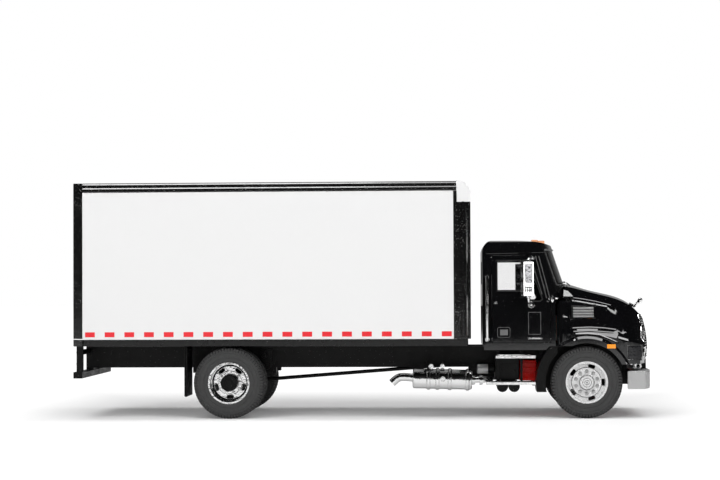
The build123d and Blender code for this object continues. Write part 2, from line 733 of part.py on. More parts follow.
wheel_centre = (dash_x - dash_depth - 3.8, driver_y, dash_top + 0.8)
column_foot = (dash_x - dash_depth + 0.2, driver_y, dash_top - 4.2)
steering_wheel = rod(column_foot, wheel_centre, 0.6)
column = Vector(*wheel_centre) - Vector(*column_foot)
wheel_rim_radius = 5.0
wheel_rim_section = 0.9
wheel_plane = Plane(origin=wheel_centre, z_dir=column)
steering_wheel += wheel_plane * (
    Cylinder(wheel_rim_radius + wheel_rim_section / 2, wheel_rim_section)
    - Cylinder(wheel_rim_radius - wheel_rim_section / 2, 2 * wheel_rim_section)
)
steering_wheel += wheel_plane * Box(2 * wheel_rim_radius, 1.2, 0.6)
parts["steering_wheel"] = steering_wheel - parts["dashboard"]


# ================================================================ hood
# columns: x from the front axle, crown z, top edge y, z, side edge y, z, step y, z, shoulder y, z
hood_stations = (
    (-12.6, 57.2, 17.5, 56.3, 26.5, 51.0, 28.9, 38.9, 29.6, 36.8),
    (0.0, 56.0, 15.5, 55.0, 25.0, 49.0, 28.2, 38.9, 30.8, 36.4),
    (13.0, 52.75, 13.5, 51.7, 22.4, 44.8, 27.2, 37.6, 31.0, 34.4),
    (21.0, 49.15, 12.0, 48.0, 19.5, 41.4, 25.0, 35.6, 30.4, 32.4),
    (25.8, 44.4, 11.0, 43.5, 15.6, 38.8, 20.4, 34.0, 26.6, 31.4),
    (29.6, 39.2, 10.0, 38.6, 12.6, 35.0, 15.4, 32.8, 20.0, 30.6),
)
grille_foot_x = front_axle_x + 28.55
grille_head_z = 42.6
nose_axis_x = grille_foot_x - nose_plan_radius
# the front face's profile, as x from the front axle and height
nose_top = (14.0, 64.0)
nose_brow = (25.2, 47.0)
nose_middle = (27.95, 37.0)
nose_foot = (28.55, 27.0)
nose_chin = (27.7, 24.2)
nose_bottom = (27.6, 10.0)


def hood_form(inset):
    """The hood's outer shape, drawn in by inset, before its front is cut to the nose's curve."""
    sections = []
    for x, crown, top_y, top_z, side_y, side_z, step_y, step_z, low_y, low_z in hood_stations:
        half = (
            (top_y - 0.5 * inset, top_z - inset),
            (side_y - inset, side_z - 0.6 * inset),
            (step_y - inset, step_z - 0.3 * inset),
            (low_y - inset, low_z - 0.6 * inset),
            (low_y - inset, hood_front_edge - 1.0 - inset),
        )
        points = [(0, crown - inset), *half, *[(-y, z) for y, z in reversed(half)]]
        sections.append(make_face(Polyline(*[(front_axle_x + x, y, z) for y, z in points], close=True)))
    return loft(sections)


def nose(distance):
    """Everything behind the front face, which is round in plan and in profile, moved forward by distance."""
    top, brow, middle, foot, chin, bottom = [
        (front_axle_x + x + distance, 0, z)
        for x, z in (nose_top, nose_brow, nose_middle, nose_foot, nose_chin, nose_bottom)
    ]
    outline = ThreePointArc(brow, middle, foot) + Polyline(
        foot, chin, bottom, (nose_axis_x, 0, bottom[2]), (nose_axis_x, 0, top[2]), top, brow
    )
    return revolve(make_face(outline), Axis((nose_axis_x, 0, 0), (0, 0, 1)))


def arch(radius, y0, y1):
    """A round bar about the front axle."""
    return rod((front_axle_x, y0, axle_height), (front_axle_x, y1, axle_height), radius)


hinge_x = front_axle_x + hood_hinge[0]
hinge_z = hood_hinge[1]
hinge_y = 10.0
arm_width = 1.4
arm_gap = 0.1
sill_half = 14.0             # the bar under the grille, which the hinge arms hang from
hood_sill_bottom = grille_foot - 0.9
hood_skin = hood_form(0) & nose(0)
hood_shell = hood_skin - (hood_form(hood_wall) & nose(-hood_wall))
arch_inner_y = front_inner_y - 6.5
for side, sign in SIDES:
    flare = chamfer(
        Cylinder(flare_radius, 9.0).edges().filter_by(GeomType.CIRCLE).sort_by(Axis.Z)[-1], 1.0
    )
    flare = Pos(front_axle_x, sign * (flare_outer - 4.5), axle_height) * Rot(-90 * sign, 0, 0) * flare
    liner = arch(arch_radius + hood_wall, sign * arch_inner_y, sign * (flare_outer - 4.0))
    hood_shell += flare + liner
# the wheel arches, the open rear and underside
for side, sign in SIDES:
    hood_shell -= arch(arch_radius, sign * (arch_inner_y - 1), sign * (flare_outer + 5))
hood_shell -= block(front_axle_x - 40, front_axle_x, -40, 40, -20, hood_rear_edge)
hood_shell -= block(front_axle_x, front_axle_x + 40, -40, 40, -20, hood_front_edge)
hood_shell -= block(front_axle_x + 18, front_axle_x + 40, -sill_half, sill_half, -20, hood_sill_bottom)
hood_shell -= bowed_column(hood_gap) & block(cab_rear_x, front_axle_x, -40, 40, cowl_height - 1.0, 80)
cowl_clear_height = 5.0
cowl_clear = Vector(-hood_rise_slope, 0, -1) * cowl_clear_height
hood_shell -= extrude(bowed_outline(hood_gap, cowl_height), cowl_clear.length, dir=cowl_clear.normalized())
hood_shell -= block(cab_rear_x, firewall_x + hood_gap, -40, 40, 0, cowl_height)
hood_shell += block(hinge_x - 1.2, grille_foot_x + 2, -sill_half, sill_half, hood_sill_bottom, grille_foot + 0.6)
hood_shell &= nose(0)

# the grille's opening and the bar below it
grille_outline = ((-13.6, grille_foot + 0.8), (13.6, grille_foot + 0.8), (10.6, grille_head_z - 2.6), (-10.6, grille_head_z - 2.6))
grille_window = across(grille_outline, grille_foot_x - 8, grille_foot_x + 8)
hood_shell -= grille_window
grille_sink = 0.2
grille_thickness = 1.0
grille = (nose(-grille_sink) - nose(-grille_sink - grille_thickness)) & across(
    ((-13.5, grille_foot + 0.9), (13.5, grille_foot + 0.9), (10.5, grille_head_z - 2.7), (-10.5, grille_head_z - 2.7)),
    grille_foot_x - 8, grille_foot_x + 8,
)
grille_slots = 6
slot_pitch = (grille_head_z - grille_foot - 5.6) / grille_slots
for index in range(grille_slots):
    slot_z = grille_foot + 2.0 + slot_pitch * index
    slot_half = 12.4 - 2.6 * (index + 1) / grille_slots
    grille -= block(grille_foot_x - 8, grille_foot_x + 8, -slot_half, slot_half, slot_z, slot_z + 0.55 * slot_pitch)
parts["grille"] = grille

# inserts set flush in the hood's skin: headlights at the corners, air vents in the sides
headlight_box = (front_axle_x + 18.0, front_axle_x + 24.4, 25.0, 31.0)
vent_box = (front_axle_x - 6.0, front_axle_x + 4.0, 43.0, 48.3)
insert_gap = 0.12
insert_depth = 1.0
headlights = []
vents = []
insert_ring = hood_skin - (hood_form(insert_depth) & nose(-insert_depth))
for side, sign in SIDES:
    for (x0, x1, z0, z1), store in ((headlight_box, headlights), (vent_box, vents)):
        hood_shell -= block(x0, x1, sign * 18, sign * 36, z0, z1)
        insert = insert_ring & block(
            x0 + insert_gap, x1 - insert_gap, sign * 18, sign * 36, z0 + insert_gap, z1 - insert_gap
        )
        store.append(insert)
parts["headlights"] = Compound(headlights)
vent_slat_count = 3
for index, vent in enumerate(vents):
    for slat in range(vent_slat_count):
        slot_z = vent_box[2] + 1.0 + 1.4 * slat
        vent -= block(vent_box[0] + 1.0, vent_box[1] - 1.0, -36, 36, slot_z, slot_z + 0.5)
    vents[index] = vent
parts["hood_vents"] = Compound(vents)

marker_x = front_axle_x + 10.6
marker_z = 31.0
markers = []
for side, sign in SIDES:
    hood_shell -= block(
        marker_x - 1.9, marker_x + 1.9, sign * (flare_outer - 0.5), sign * (flare_outer + 1), marker_z - 0.9, marker_z + 0.9
    )
    markers.append(block(
        marker_x - 1.9, marker_x + 1.9, sign * (flare_outer - 0.5), sign * (flare_outer + 0.35), marker_z - 0.9, marker_z + 0.9
    ))
parts["side_markers"] = Compound(markers)

# hinge arms under the grille, turning on pins that the bumper carries
for side, sign in SIDES:
    arm = block(
        hinge_x - 1.0, hinge_x + 1.0, sign * hinge_y - arm_width / 2, sign * hinge_y + arm_width / 2,
        hinge_z - 0.8, hood_sill_bottom + 0.5,
    )
    arm -= rod((hinge_x, -40, hinge_z), (hinge_x, 40, hinge_z), hinge_pin_radius + hinge_clearance)
    hood_shell += arm
parts["hood"] = hood_shell

ornament_foot = (front_axle_x + 22.0, 0, 46.0)
ornament_neck = (front_axle_x + 26.0, 0, 50.2)
ornament_head = (front_axle_x + 26.4, 0, 50.7)
ornament = rod(ornament_foot, ornament_neck, 0.75) + Pos(*ornament_head) * Sphere(1.05)
parts["hood_ornament"] = ornament - hood_skin


# ================================================================ bumpers and guards
bumper_top = bumper_bottom + bumper_height
bumper_end_x = front_bumper_x - bumper_bow
bumper_back_x = bumper_end_x - bumper_return


def bumper_plan(inset):
    """The bumper's plan, drawn in by inset, its back left open."""
    half = bumper_width / 2 - inset
    front = front_bumper_x - inset
    return (
        (bumper_back_x - (0 if inset == 0 else 1), half),
        (bumper_end_x - inset, half),
        (front - 0.35 * bumper_bow, 0.8 * half),
        (front, 0.45 * half),
        (front, -0.45 * half),
        (front - 0.35 * bumper_bow, -0.8 * half),
        (bumper_end_x - inset, -half),
        (bumper_back_x - (0 if inset == 0 else 1), -half),
    )


def plan_prism(points, z0, z1):
    """An XY outline carried from z0 up to z1."""
    face = make_face(Polyline(*[(x, y, z0) for x, y in points], close=True))
    return extrude(face, z1 - z0, dir=(0, 0, 1))


bumper = plan_prism(bumper_plan(0), bumper_bottom, bumper_top)
bumper -= plan_prism(bumper_plan(bumper_wall), bumper_bottom + bumper_wall, bumper_top - bumper_wall)
bumper -= block(
    bumper_back_x - 1, bumper_end_x - 4.0, -bumper_width / 2 + bumper_wall, bumper_width / 2 - bumper_wall,
    bumper_bottom, bumper_top,
)
parts["front_bumper"] = bumper

brackets = []
for side, sign in SIDES:
    bracket = block(
        frame_front_x - 4.0, front_bumper_x - bumper_wall - 0.4, sign * (rail_face - 3.0), sign * rail_face,
        bumper_bottom + bumper_wall, bumper_top - bumper_wall,
    )
    bracket += block(
        frame_front_x - 4.0, frame_front_x, sign * (rail_face - 3.0), sign * rail_face, bumper_top - bumper_wall, frame_bottom
    )
    brackets.append(bracket)

for side, sign in SIDES:
    hinge = rod(
        (hinge_x, sign * (hinge_y - 2.0), hinge_z), (hinge_x, sign * (hinge_y + 2.0), hinge_z), hinge_pin_radius
    )
    for y0, y1 in ((-2.0, -arm_width / 2 - arm_gap), (arm_width / 2 + arm_gap, 2.0)):
        hinge += block(hinge_x - 0.9, hinge_x + 0.9, sign * hinge_y + y0, sign * hinge_y + y1, bumper_top, hinge_z + 0.8)
    brackets.append(hinge)
parts["bumper_brackets"] = Compound(brackets)

# tow eyes on the bumper's upper flange
eye_radius = 0.8
eye_outer = 1.5
eye_width = 1.2
eye_y = 16.0
eye_x = bumper_end_x - 1.6
eye_z = bumper_top + eye_outer - 0.1
eyes = []
for side, sign in SIDES:
    eye = rod((eye_x, sign * (eye_y - eye_width / 2), eye_z), (eye_x, sign * (eye_y + eye_width / 2), eye_z), eye_outer)
    eye += block(
        eye_x - 2.2, eye_x, sign * (eye_y - eye_width / 2), sign * (eye_y + eye_width / 2), bumper_top, bumper_top + 0.9
    )
    eye -= rod((eye_x, sign * (eye_y - 5), eye_z), (eye_x, sign * (eye_y + 5), eye_z), eye_radius)
    eye -= block(eye_x - 3, eye_x + 3, sign * (eye_y - 2), sign * (eye_y + 2), bumper_top - 1, bumper_top)
    eyes.append(eye)
parts["tow_eyes"] = Compound(eyes)

# rear guard: two outer plates and two inner ones on a low tread bar, with a link between
guard_front_x = guard_rear_x + guard_bar_depth
guard = block(guard_rear_x, guard_front_x, -guard_width / 2, guard_width / 2, guard_bottom, guard_bottom + guard_bar_height)
for side, sign in SIDES:
    outer_plate = (sign * (guard_width / 2 - 1.2), sign * guard_width / 2)
    guard += block(guard_rear_x + 1.4, guard_front_x + 0.4, *outer_plate, guard_bottom + guard_bar_height, underframe_bottom)
    guard += block(
        guard_rear_x + 1.4, frame_rear_x, sign * (rail_face - 1.2), sign * rail_face,
        guard_bottom + guard_bar_height, underframe_bottom,
    )
    guard += block(
        guard_rear_x + 2.0, guard_rear_x + 3.4, sign * rail_face, sign * guard_width / 2, 27.8, 30.0
    )
parts["rear_guard"] = guard

flap_x = rear_axle_x - 18.6
flap_bottom = 9.6
flap_thickness = 0.9
flaps = []
for side, sign in SIDES:
    flaps.append(block(
        flap_x - flap_thickness / 2, flap_x + flap_thickness / 2, sign * 18.0, sign * 36.4, flap_bottom, underframe_bottom
    ))
parts["mud_flaps"] = Compound(flaps)

# splash guards behind the front wheels, carrying on the arch down to the steps
guard_inner_radius = 17.7
guard_outer_radius = 21.8
splash_inner_y = 20.0
splash = []
for side, sign in SIDES:
    shell_guard = arch(guard_outer_radius, sign * splash_inner_y, sign * (flare_outer - 0.3))
    shell_guard -= arch(guard_inner_radius, sign * (splash_inner_y - 1), sign * (flare_outer + 1))
    shell_guard &= block(
        front_axle_x - 25, front_axle_x - 11.0, sign * splash_inner_y, sign * flare_outer, 11.4, cab_bottom - 0.1
    )
    shell_guard -= block(firewall_x + hood_gap - 0.2, front_axle_x, -40, 40, 28.0, 40)
    shell_guard -= block(cab_rear_x, firewall_x, -half_cab, half_cab, cab_bottom - 1.7, cab_bottom + 10)
    splash.append(shell_guard)
parts["splash_guards"] = Compound(splash)

# ================================================================ fittings under the cab
step_inner_y = 28.0
step_outer_y = 34.2
step_sets = []
for side, sign in SIDES:
    steps = block(
        cab_rear_x + 5.6, cab_rear_x + 22.8, sign * step_inner_y, sign * step_outer_y, 25.9, 27.4
    )
    steps += block(cab_rear_x + 1.4, cab_rear_x + 22.8, sign * step_inner_y, sign * step_outer_y, 14.5, 16.0)
    for x in (cab_rear_x + 7.0, cab_rear_x + 21.2):
        steps += block(x - 0.5, x + 0.5, sign * step_inner_y, sign * (step_inner_y + 1.0), 14.5, cab_bottom - 1.6)
    step_sets.append(steps)
parts["steps"] = Compound(step_sets)

battery = block(cab_rear_x + 5.4, cab_rear_x + 15.8, -27.8, -rail_face - 0.5, 16.6, 25.6)
battery += block(cab_rear_x + 8.0, cab_rear_x + 14.0, -rail_face - 0.6, -rail_face, 22.0, 25.0)
parts["battery_box"] = battery

tank_z = 13.4
tank_radius = 2.4
tanks = []
for x in (cab_rear_x + 8.6, cab_rear_x + 13.7):
    tanks.append(rod((x, -27.0, tank_z), (x, 8.0, tank_z), tank_radius))
air_tanks = tanks[0] + tanks[1] + block(cab_rear_x + 8.0, cab_rear_x + 14.2, -27.0, -20.0, tank_z + 1.2, 16.6)
air_tanks += block(cab_rear_x + 8.0, cab_rear_x + 12.8, -11.0, -9.4, tank_z + 1.2, frame_bottom)
parts["air_tanks"] = air_tanks

# fuel tank on the left, a barrel on two straps under the rail's side
fuel_radius = 6.2
fuel_y = rail_face + fuel_radius + 2.2
fuel_z = 20.2
fuel_tank = rod((cab_rear_x - 6.0, fuel_y, fuel_z), (cab_rear_x + 18.0, fuel_y, fuel_z), fuel_radius)
for x in (cab_rear_x - 1.0, cab_rear_x + 13.0):
    fuel_tank += rod((x - 0.8, fuel_y, fuel_z), (x + 0.8, fuel_y, fuel_z), fuel_radius + 0.3)
    fuel_tank += block(x - 0.8, x + 0.8, rail_face, fuel_y, fuel_z + 2.0, fuel_z + 4.0)
parts["fuel_tank"] = fuel_tank

# exhaust on the right: a silencer, its short turned-down tail and the pipe from the engine
silencer_y = -29.6
silencer_rear = (cab_rear_x - 30.4, silencer_y, 17.2)
silencer_front = (cab_rear_x - 4.6, silencer_y, 16.5)
silencer_radius = 4.3
pipe_radius = 1.5
silencer = rod(silencer_rear, silencer_front, silencer_radius)
band_count = 4
for index in range(band_count):
    share = 0.2 + 0.22 * index
    x = silencer_rear[0] + share * (silencer_front[0] - silencer_rear[0])
    z = silencer_rear[2] + share * (silencer_front[2] - silencer_rear[2])
    silencer += rod((x - 0.5, silencer_y, z), (x + 0.5, silencer_y, z), silencer_radius + 0.35)
tail_bend = (silencer_rear[0] - 4.0, silencer_y, 17.6)
tail_end = (silencer_rear[0] - 9.0, silencer_y, 15.6)
silencer += rod(silencer_rear, tail_bend, pipe_radius) + Pos(*tail_bend) * Sphere(pipe_radius)
silencer += rod(tail_bend, tail_end, pipe_radius)
inlet_end = (cab_rear_x - 1.4, silencer_y, 16.6)
silencer += rod(silencer_front, inlet_end, pipe_radius)
inlet_turn = (cab_rear_x + 3.4, -21.0, 16.6)
silencer += Pos(*inlet_end) * Sphere(pipe_radius)
silencer += rod(inlet_end, inlet_turn, pipe_radius)
for x in (silencer_rear[0] + 8.0, silencer_rear[0] + 20.0):
    silencer += block(x - 0.8, x + 0.8, silencer_y - 0.8, silencer_y + 0.8, 17.0, 22.4)
    silencer += block(x - 0.8, x + 0.8, silencer_y, -rail_face, 22.0, 23.4)
canister = rod((cab_rear_x - 2.4, -24.0, 21.0), (cab_rear_x + 2.6, -24.0, 21.0), 2.1)
canister += block(cab_rear_x - 0.6, cab_rear_x + 0.8, -24.0, -rail_face, 22.0, 23.4)
parts["exhaust"] = Compound([silencer, canister])

# ================================================================ fittings on the cab
mirror_width = 6.8
mirror_height = 14.6
mirror_depth = 1.7
mirror_turn = 40.0
mirror_x = cab_rear_x + 19.2
mirror_z = 60.2
mirror_y = half_cab + 7.0
arm_radius = 0.55
grab_radius = 0.6
grab_x = cab_rear_x + 2.0
grab_y = half_cab + 1.6
grab_top = 62.0
grab_bottom = 33.0
mirrors = []
grab_rails = []
for side, sign in SIDES:
    head = fillet(Box(mirror_depth, mirror_width, mirror_height).edges().filter_by(Axis.X), 1.4)
    mirror = Pos(mirror_x, sign * mirror_y, mirror_z) * Rot(0, 0, sign * mirror_turn) * head
    top_anchor = (mirror_x + 2.6, sign * (cab_side(69.4) + 0.2), 69.4)
    top_reach = (mirror_x + 0.4, sign * mirror_y, 69.6)
    mirror += rod(top_anchor, top_reach, arm_radius) + Pos(*top_reach) * Sphere(arm_radius)
    mirror += rod(top_reach, (mirror_x + 0.4, sign * mirror_y, 50.2), arm_radius)
    foot = (mirror_x + 2.0, sign * half_cab, 49.0)
    mirror += rod((mirror_x + 0.4, sign * mirror_y, 50.2), (foot[0], sign * (half_cab + 0.6), foot[2]), arm_radius)
    mirror += Pos(mirror_x + 0.4, sign * mirror_y, 50.2) * Sphere(arm_radius)
    mirror += rod(foot, (foot[0], sign * (half_cab + 0.9), foot[2]), 1.6)
    mirrors.append(mirror)
    rail_bar = rod((grab_x, sign * grab_y, grab_bottom), (grab_x, sign * grab_y, grab_top), grab_radius)
    for z in (grab_bottom + 0.8, grab_top - 0.8):
        rail_bar += rod((grab_x, sign * (cab_side(z) + 0.06), z), (grab_x, sign * grab_y, z), grab_radius * 0.8)
    grab_rails.append(rail_bar)
parts["mirrors"] = Compound(mirrors)
parts["grab_rails"] = Compound(grab_rails)

# columns: y from the middle, x back from the roof's front edge, top of the lens
marker_rows = ((0.0, 3.2, 77.3), (6.5, 3.4, 77.3), (-6.5, 3.4, 77.3), (18.5, 6.8, 77.4), (-18.5, 6.8, 77.4))
marker_length = 3.0
marker_width = 1.8
marker_sink = 2.4
roof_lamps = []
for y, back, lens_top in marker_rows:
    lamp_x = roof_front_x - back
    roof_lamps.append(block(
        lamp_x - marker_length / 2, lamp_x + marker_length / 2, y - marker_width / 2, y + marker_width / 2,
        lens_top - marker_sink, lens_top,
    ))
parts["roof_markers"] = Compound([lamp - cab_form(0) for lamp in roof_lamps])

# ================================================================ write the pieces
os.makedirs("parts", exist_ok=True)
for node, shape in parts.items():
    export_step(shape, f"parts/{node}.step")
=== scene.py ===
"""A die-cast scale model of a box truck: the finish and fine detail of every piece."""

import math

import bmesh
import bpy
from mathutils import Matrix, Vector
from mathutils.bvhtree import BVHTree


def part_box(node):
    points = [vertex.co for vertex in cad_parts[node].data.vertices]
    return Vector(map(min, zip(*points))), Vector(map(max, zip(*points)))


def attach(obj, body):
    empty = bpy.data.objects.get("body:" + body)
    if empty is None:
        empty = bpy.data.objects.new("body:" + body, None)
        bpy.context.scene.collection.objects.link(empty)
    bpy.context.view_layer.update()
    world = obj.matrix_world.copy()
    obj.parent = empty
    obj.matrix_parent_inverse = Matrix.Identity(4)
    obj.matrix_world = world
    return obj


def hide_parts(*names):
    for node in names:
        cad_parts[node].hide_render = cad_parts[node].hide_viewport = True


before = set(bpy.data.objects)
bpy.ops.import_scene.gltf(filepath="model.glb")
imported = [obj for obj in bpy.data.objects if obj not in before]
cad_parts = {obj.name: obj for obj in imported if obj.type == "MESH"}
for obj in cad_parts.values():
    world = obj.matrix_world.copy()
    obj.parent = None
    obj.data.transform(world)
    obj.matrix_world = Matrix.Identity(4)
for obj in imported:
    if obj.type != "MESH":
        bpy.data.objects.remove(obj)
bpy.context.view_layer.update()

# ---------------------------------------------------------------- chassis frame
# Two channel rails joined by crossmembers, moulded in black plastic. Small rivet heads run in two
# rows along each rail where the real frame's brackets are fixed.
MM = 0.001  # the frame's sizes are metres; the sizes below are millimetres


def block(form, x0, x1, y0, y1, z0, z1):
    """Adds a box to form and gives back its corner points."""
    made = bmesh.ops.create_cube(form, size=1.0)["verts"]
    bmesh.ops.scale(form, vec=(x1 - x0, y1 - y0, z1 - z0), verts=made)
    bmesh.ops.translate(form, vec=((x0 + x1) / 2, (y0 + y1) / 2, (z0 + z1) / 2), verts=made)
    return made


def slabs(form, x0, x1, middle, half, z0, z1):
    """Adds a box on both sides of the model: middle is its distance out, half its half thickness."""
    for side in (-1, 1):
        block(form, x0, x1, side * middle - half, side * middle + half, z0, z1)


def rod(form, start, end, radius, end_radius=None, sides=16, ends=True):
    """Adds a round bar, or a cone, from start to end."""
    start, end = Vector(start), Vector(end)
    last = radius if end_radius is None else end_radius
    length = (end - start).length
    made = bmesh.ops.create_cone(
        form, cap_ends=ends, segments=sides, radius1=radius, radius2=last, depth=length)["verts"]
    turn = (end - start).to_track_quat("Z", "Y").to_matrix()
    bmesh.ops.rotate(form, cent=(0, 0, 0), matrix=turn, verts=made)
    bmesh.ops.translate(form, vec=(start + end) / 2, verts=made)


def pins(form, x, z, inner, outer, radius, end_radius=None, sides=16):
    """Adds a bar that points outwards on both sides of the model, from inner to outer."""
    for side in (-1, 1):
        rod(form, (x, side * inner, z), (x, side * outer, z), radius, end_radius, sides=sides)


def ball(form, centre, radius, rings=8):
    """Adds a ball."""
    made = bmesh.ops.create_uvsphere(form, u_segments=2 * rings, v_segments=rings, radius=radius)["verts"]
    bmesh.ops.translate(form, vec=centre, verts=made)


def shaped(name, form, finish, slot, *stands_for, body="chassis", ease=0.0, fold=32.0, steps=2):
    """Makes a piece of the model from a form in millimetres, its sharp edges rounded by ease."""
    bmesh.ops.scale(form, vec=(MM, MM, MM), verts=form.verts)
    for face in form.faces:
        face.smooth = True
    for edge in form.edges:
        edge.smooth = len(edge.link_faces) == 2 and edge.calc_face_angle(0.0) < math.radians(fold)
    mesh = bpy.data.meshes.new(name)
    form.to_mesh(mesh)
    form.free()
    mesh.materials.append(finish)
    piece = bpy.data.objects.new(name, mesh)
    bpy.context.scene.collection.objects.link(piece)
    if ease:
        rounding = piece.modifiers.new("rounding", "BEVEL")
        rounding.width = ease * MM
        rounding.segments = steps
        rounding.limit_method = "ANGLE"
        rounding.angle_limit = math.radians(fold)
        rounding.harden_normals = True
    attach(piece, body)
    if stands_for:
        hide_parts(*stands_for)


def casting(node, finish, body="chassis", ease=0.2, fold=32.0, steps=2, set_in=0.0):
    """The frame's own piece with its edges rounded as they leave the mould, or set forward by set_in."""
    form = bmesh.new()
    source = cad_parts[node].data
    form.from_mesh(source)
    bmesh.ops.scale(form, vec=(1 / MM, 1 / MM, 1 / MM), verts=form.verts)
    bmesh.ops.remove_doubles(form, verts=form.verts, dist=0.001)
    bmesh.ops.dissolve_limit(form, angle_limit=math.radians(1.0), verts=form.verts, edges=form.edges)
    bmesh.ops.translate(form, vec=(set_in, 0, 0), verts=form.verts)
    slot = source.materials[0].name.split(".")[0]
    shaped(node + "_finished", form, finish, slot, node, body=body, ease=ease, fold=fold, steps=steps)


def added(tree, kind, sockets=None, **settings):
    """Adds a shader node with its settings, and values for its sockets by name or number."""
    made = tree.nodes.new("ShaderNode" + kind)
    for label, value in settings.items():
        setattr(made, label, value)
    for label, value in (sockets or {}).items():
        made.inputs[label].default_value = value
    return made


def wired(tree, *pairs):
    """Joins shader nodes: each pair is an output and the input that it feeds."""
    for source, target in pairs:
        tree.links.new(source, target)


def effect(name, pattern, sockets, gives):
    """Starts a shader group round one pattern, Size millimetres across, that gives one thing."""
    tree = bpy.data.node_groups.new(name, "ShaderNodeTree")
    for label, value in sockets.items():
        socket = tree.interface.new_socket(label, in_out="INPUT", socket_type="NodeSocketFloat")
        socket.default_value = value
    kind = "NodeSocketVector" if gives == "Normal" else "NodeSocketFloat"
    tree.interface.new_socket(gives, in_out="OUTPUT", socket_type=kind)
    start, end = tree.nodes.new("NodeGroupInput"), tree.nodes.new("NodeGroupOutput")
    place = added(tree, "TexCoord")
    scale = added(tree, "Math", {0: 1.0 / MM}, operation="DIVIDE")
    texture = added(tree, pattern)
    wired(tree, (start.outputs["Size"], scale.inputs[1]), (scale.outputs[0], texture.inputs["Scale"]),
          (place.outputs["Object"], texture.inputs["Vector"]))
    return tree, start.outputs, end.inputs[0], place, texture


# fine bumps of a sprayed or moulded skin: Depth is in twentieths of a millimetre
grain, given, result, place, noise = effect("grain", "TexNoise", {"Size": 0.5, "Depth": 0.1}, "Normal")
noise.inputs["Detail"].default_value = 3.0
relief = added(grain, "Math", {1: 0.05 * MM}, operation="MULTIPLY")
bump = added(grain, "Bump")
wired(grain, (noise.outputs[0], bump.inputs["Height"]), (given["Depth"], relief.inputs[0]),
      (relief.outputs[0], bump.inputs["Distance"]), (bump.outputs[0], result))

# dust and lint: sparse pale flecks, thicker in some places
dust, given, result, place, cells = effect("dust", "TexVoronoi", {"Size": 1.0, "Amount": 0.2}, "Mask")
drift = added(dust, "TexNoise", {"Scale": 90.0})
reach = added(dust, "Math", operation="MULTIPLY")
fleck = added(dust, "Math", operation="LESS_THAN")
wired(dust, (place.outputs["Object"], drift.inputs["Vector"]), (drift.outputs[0], reach.inputs[0]),
      (given["Amount"], reach.inputs[1]), (cells.outputs["Distance"], fleck.inputs[0]),
      (reach.outputs[0], fleck.inputs[1]), (fleck.outputs[0], result))

# clouds of slightly different polish, from Low to High
clouds, given, result, place, noise = effect(
    "clouds", "TexNoise", {"Size": 4.0, "Low": 0.0, "High": 1.0}, "Value")
noise.inputs["Detail"].default_value = 4.0
spread = added(clouds, "MapRange", {"From Min": 0.35, "From Max": 0.65})
wired(clouds, (noise.outputs[0], spread.inputs["Value"]), (given["Low"], spread.inputs["To Min"]),
      (given["High"], spread.inputs["To Max"]), (spread.outputs[0], result))


def surface(name, colour, polish, metal=0.0, skin=(0.5, 0.1), flecks=None, cloud=3.0, **sockets):
    """A finish: its colour, its roughness from and to, its skin, and flecks of dust as size and amount."""
    material = bpy.data.materials.new(name)
    material.use_nodes = True
    tree = material.node_tree
    shader = tree.nodes["Principled BSDF"]
    shader.inputs["Base Color"].default_value = (*colour, 1.0)
    shader.inputs["Metallic"].default_value = metal
    for label, value in sockets.items():
        shader.inputs[label.replace("_", " ")].default_value = value
    mottle = added(tree, "Group", node_tree=clouds)
    mottle.inputs["Size"].default_value = cloud
    mottle.inputs["Low"].default_value, mottle.inputs["High"].default_value = polish
    bumps = added(tree, "Group", node_tree=grain)
    bumps.inputs["Size"].default_value, bumps.inputs["Depth"].default_value = skin
    wired(tree, (mottle.outputs[0], shader.inputs["Roughness"]), (bumps.outputs[0], shader.inputs["Normal"]))
    if flecks:
        lint = added(tree, "Group", node_tree=dust)
        lint.inputs["Size"].default_value, lint.inputs["Amount"].default_value = flecks
        pale = added(tree, "Mix", {6: (*colour, 1.0), 7: (0.32, 0.32, 0.31, 1.0)}, data_type="RGBA")
        wired(tree, (lint.outputs[0], pale.inputs[0]), (pale.outputs[2], shader.inputs["Base Color"]))
    return material


moulded_black = surface("moulded_black", (0.0035, 0.0035, 0.0035), (0.30, 0.46), skin=(0.35, 0.3),
                        flecks=(0.9, 0.11), Specular_IOR_Level=0.22)
casting("chassis_frame", moulded_black, ease=0.25)
rail_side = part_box("chassis_frame")[1][1] / MM
rivet_count, first_rivet, rivet_pitch, rivet_radius = 22, -113.0, 7.4, 0.42
rivets = bmesh.new()
for rivet in range(rivet_count):
    for height in (23.6, 28.6):
        pins(rivets, first_rivet + rivet_pitch * rivet, height, rail_side - 0.05, rail_side + 0.22,
             rivet_radius, 0.6 * rivet_radius, sides=8)
shaped("rail_rivets", rivets, moulded_black, "chassis_black")

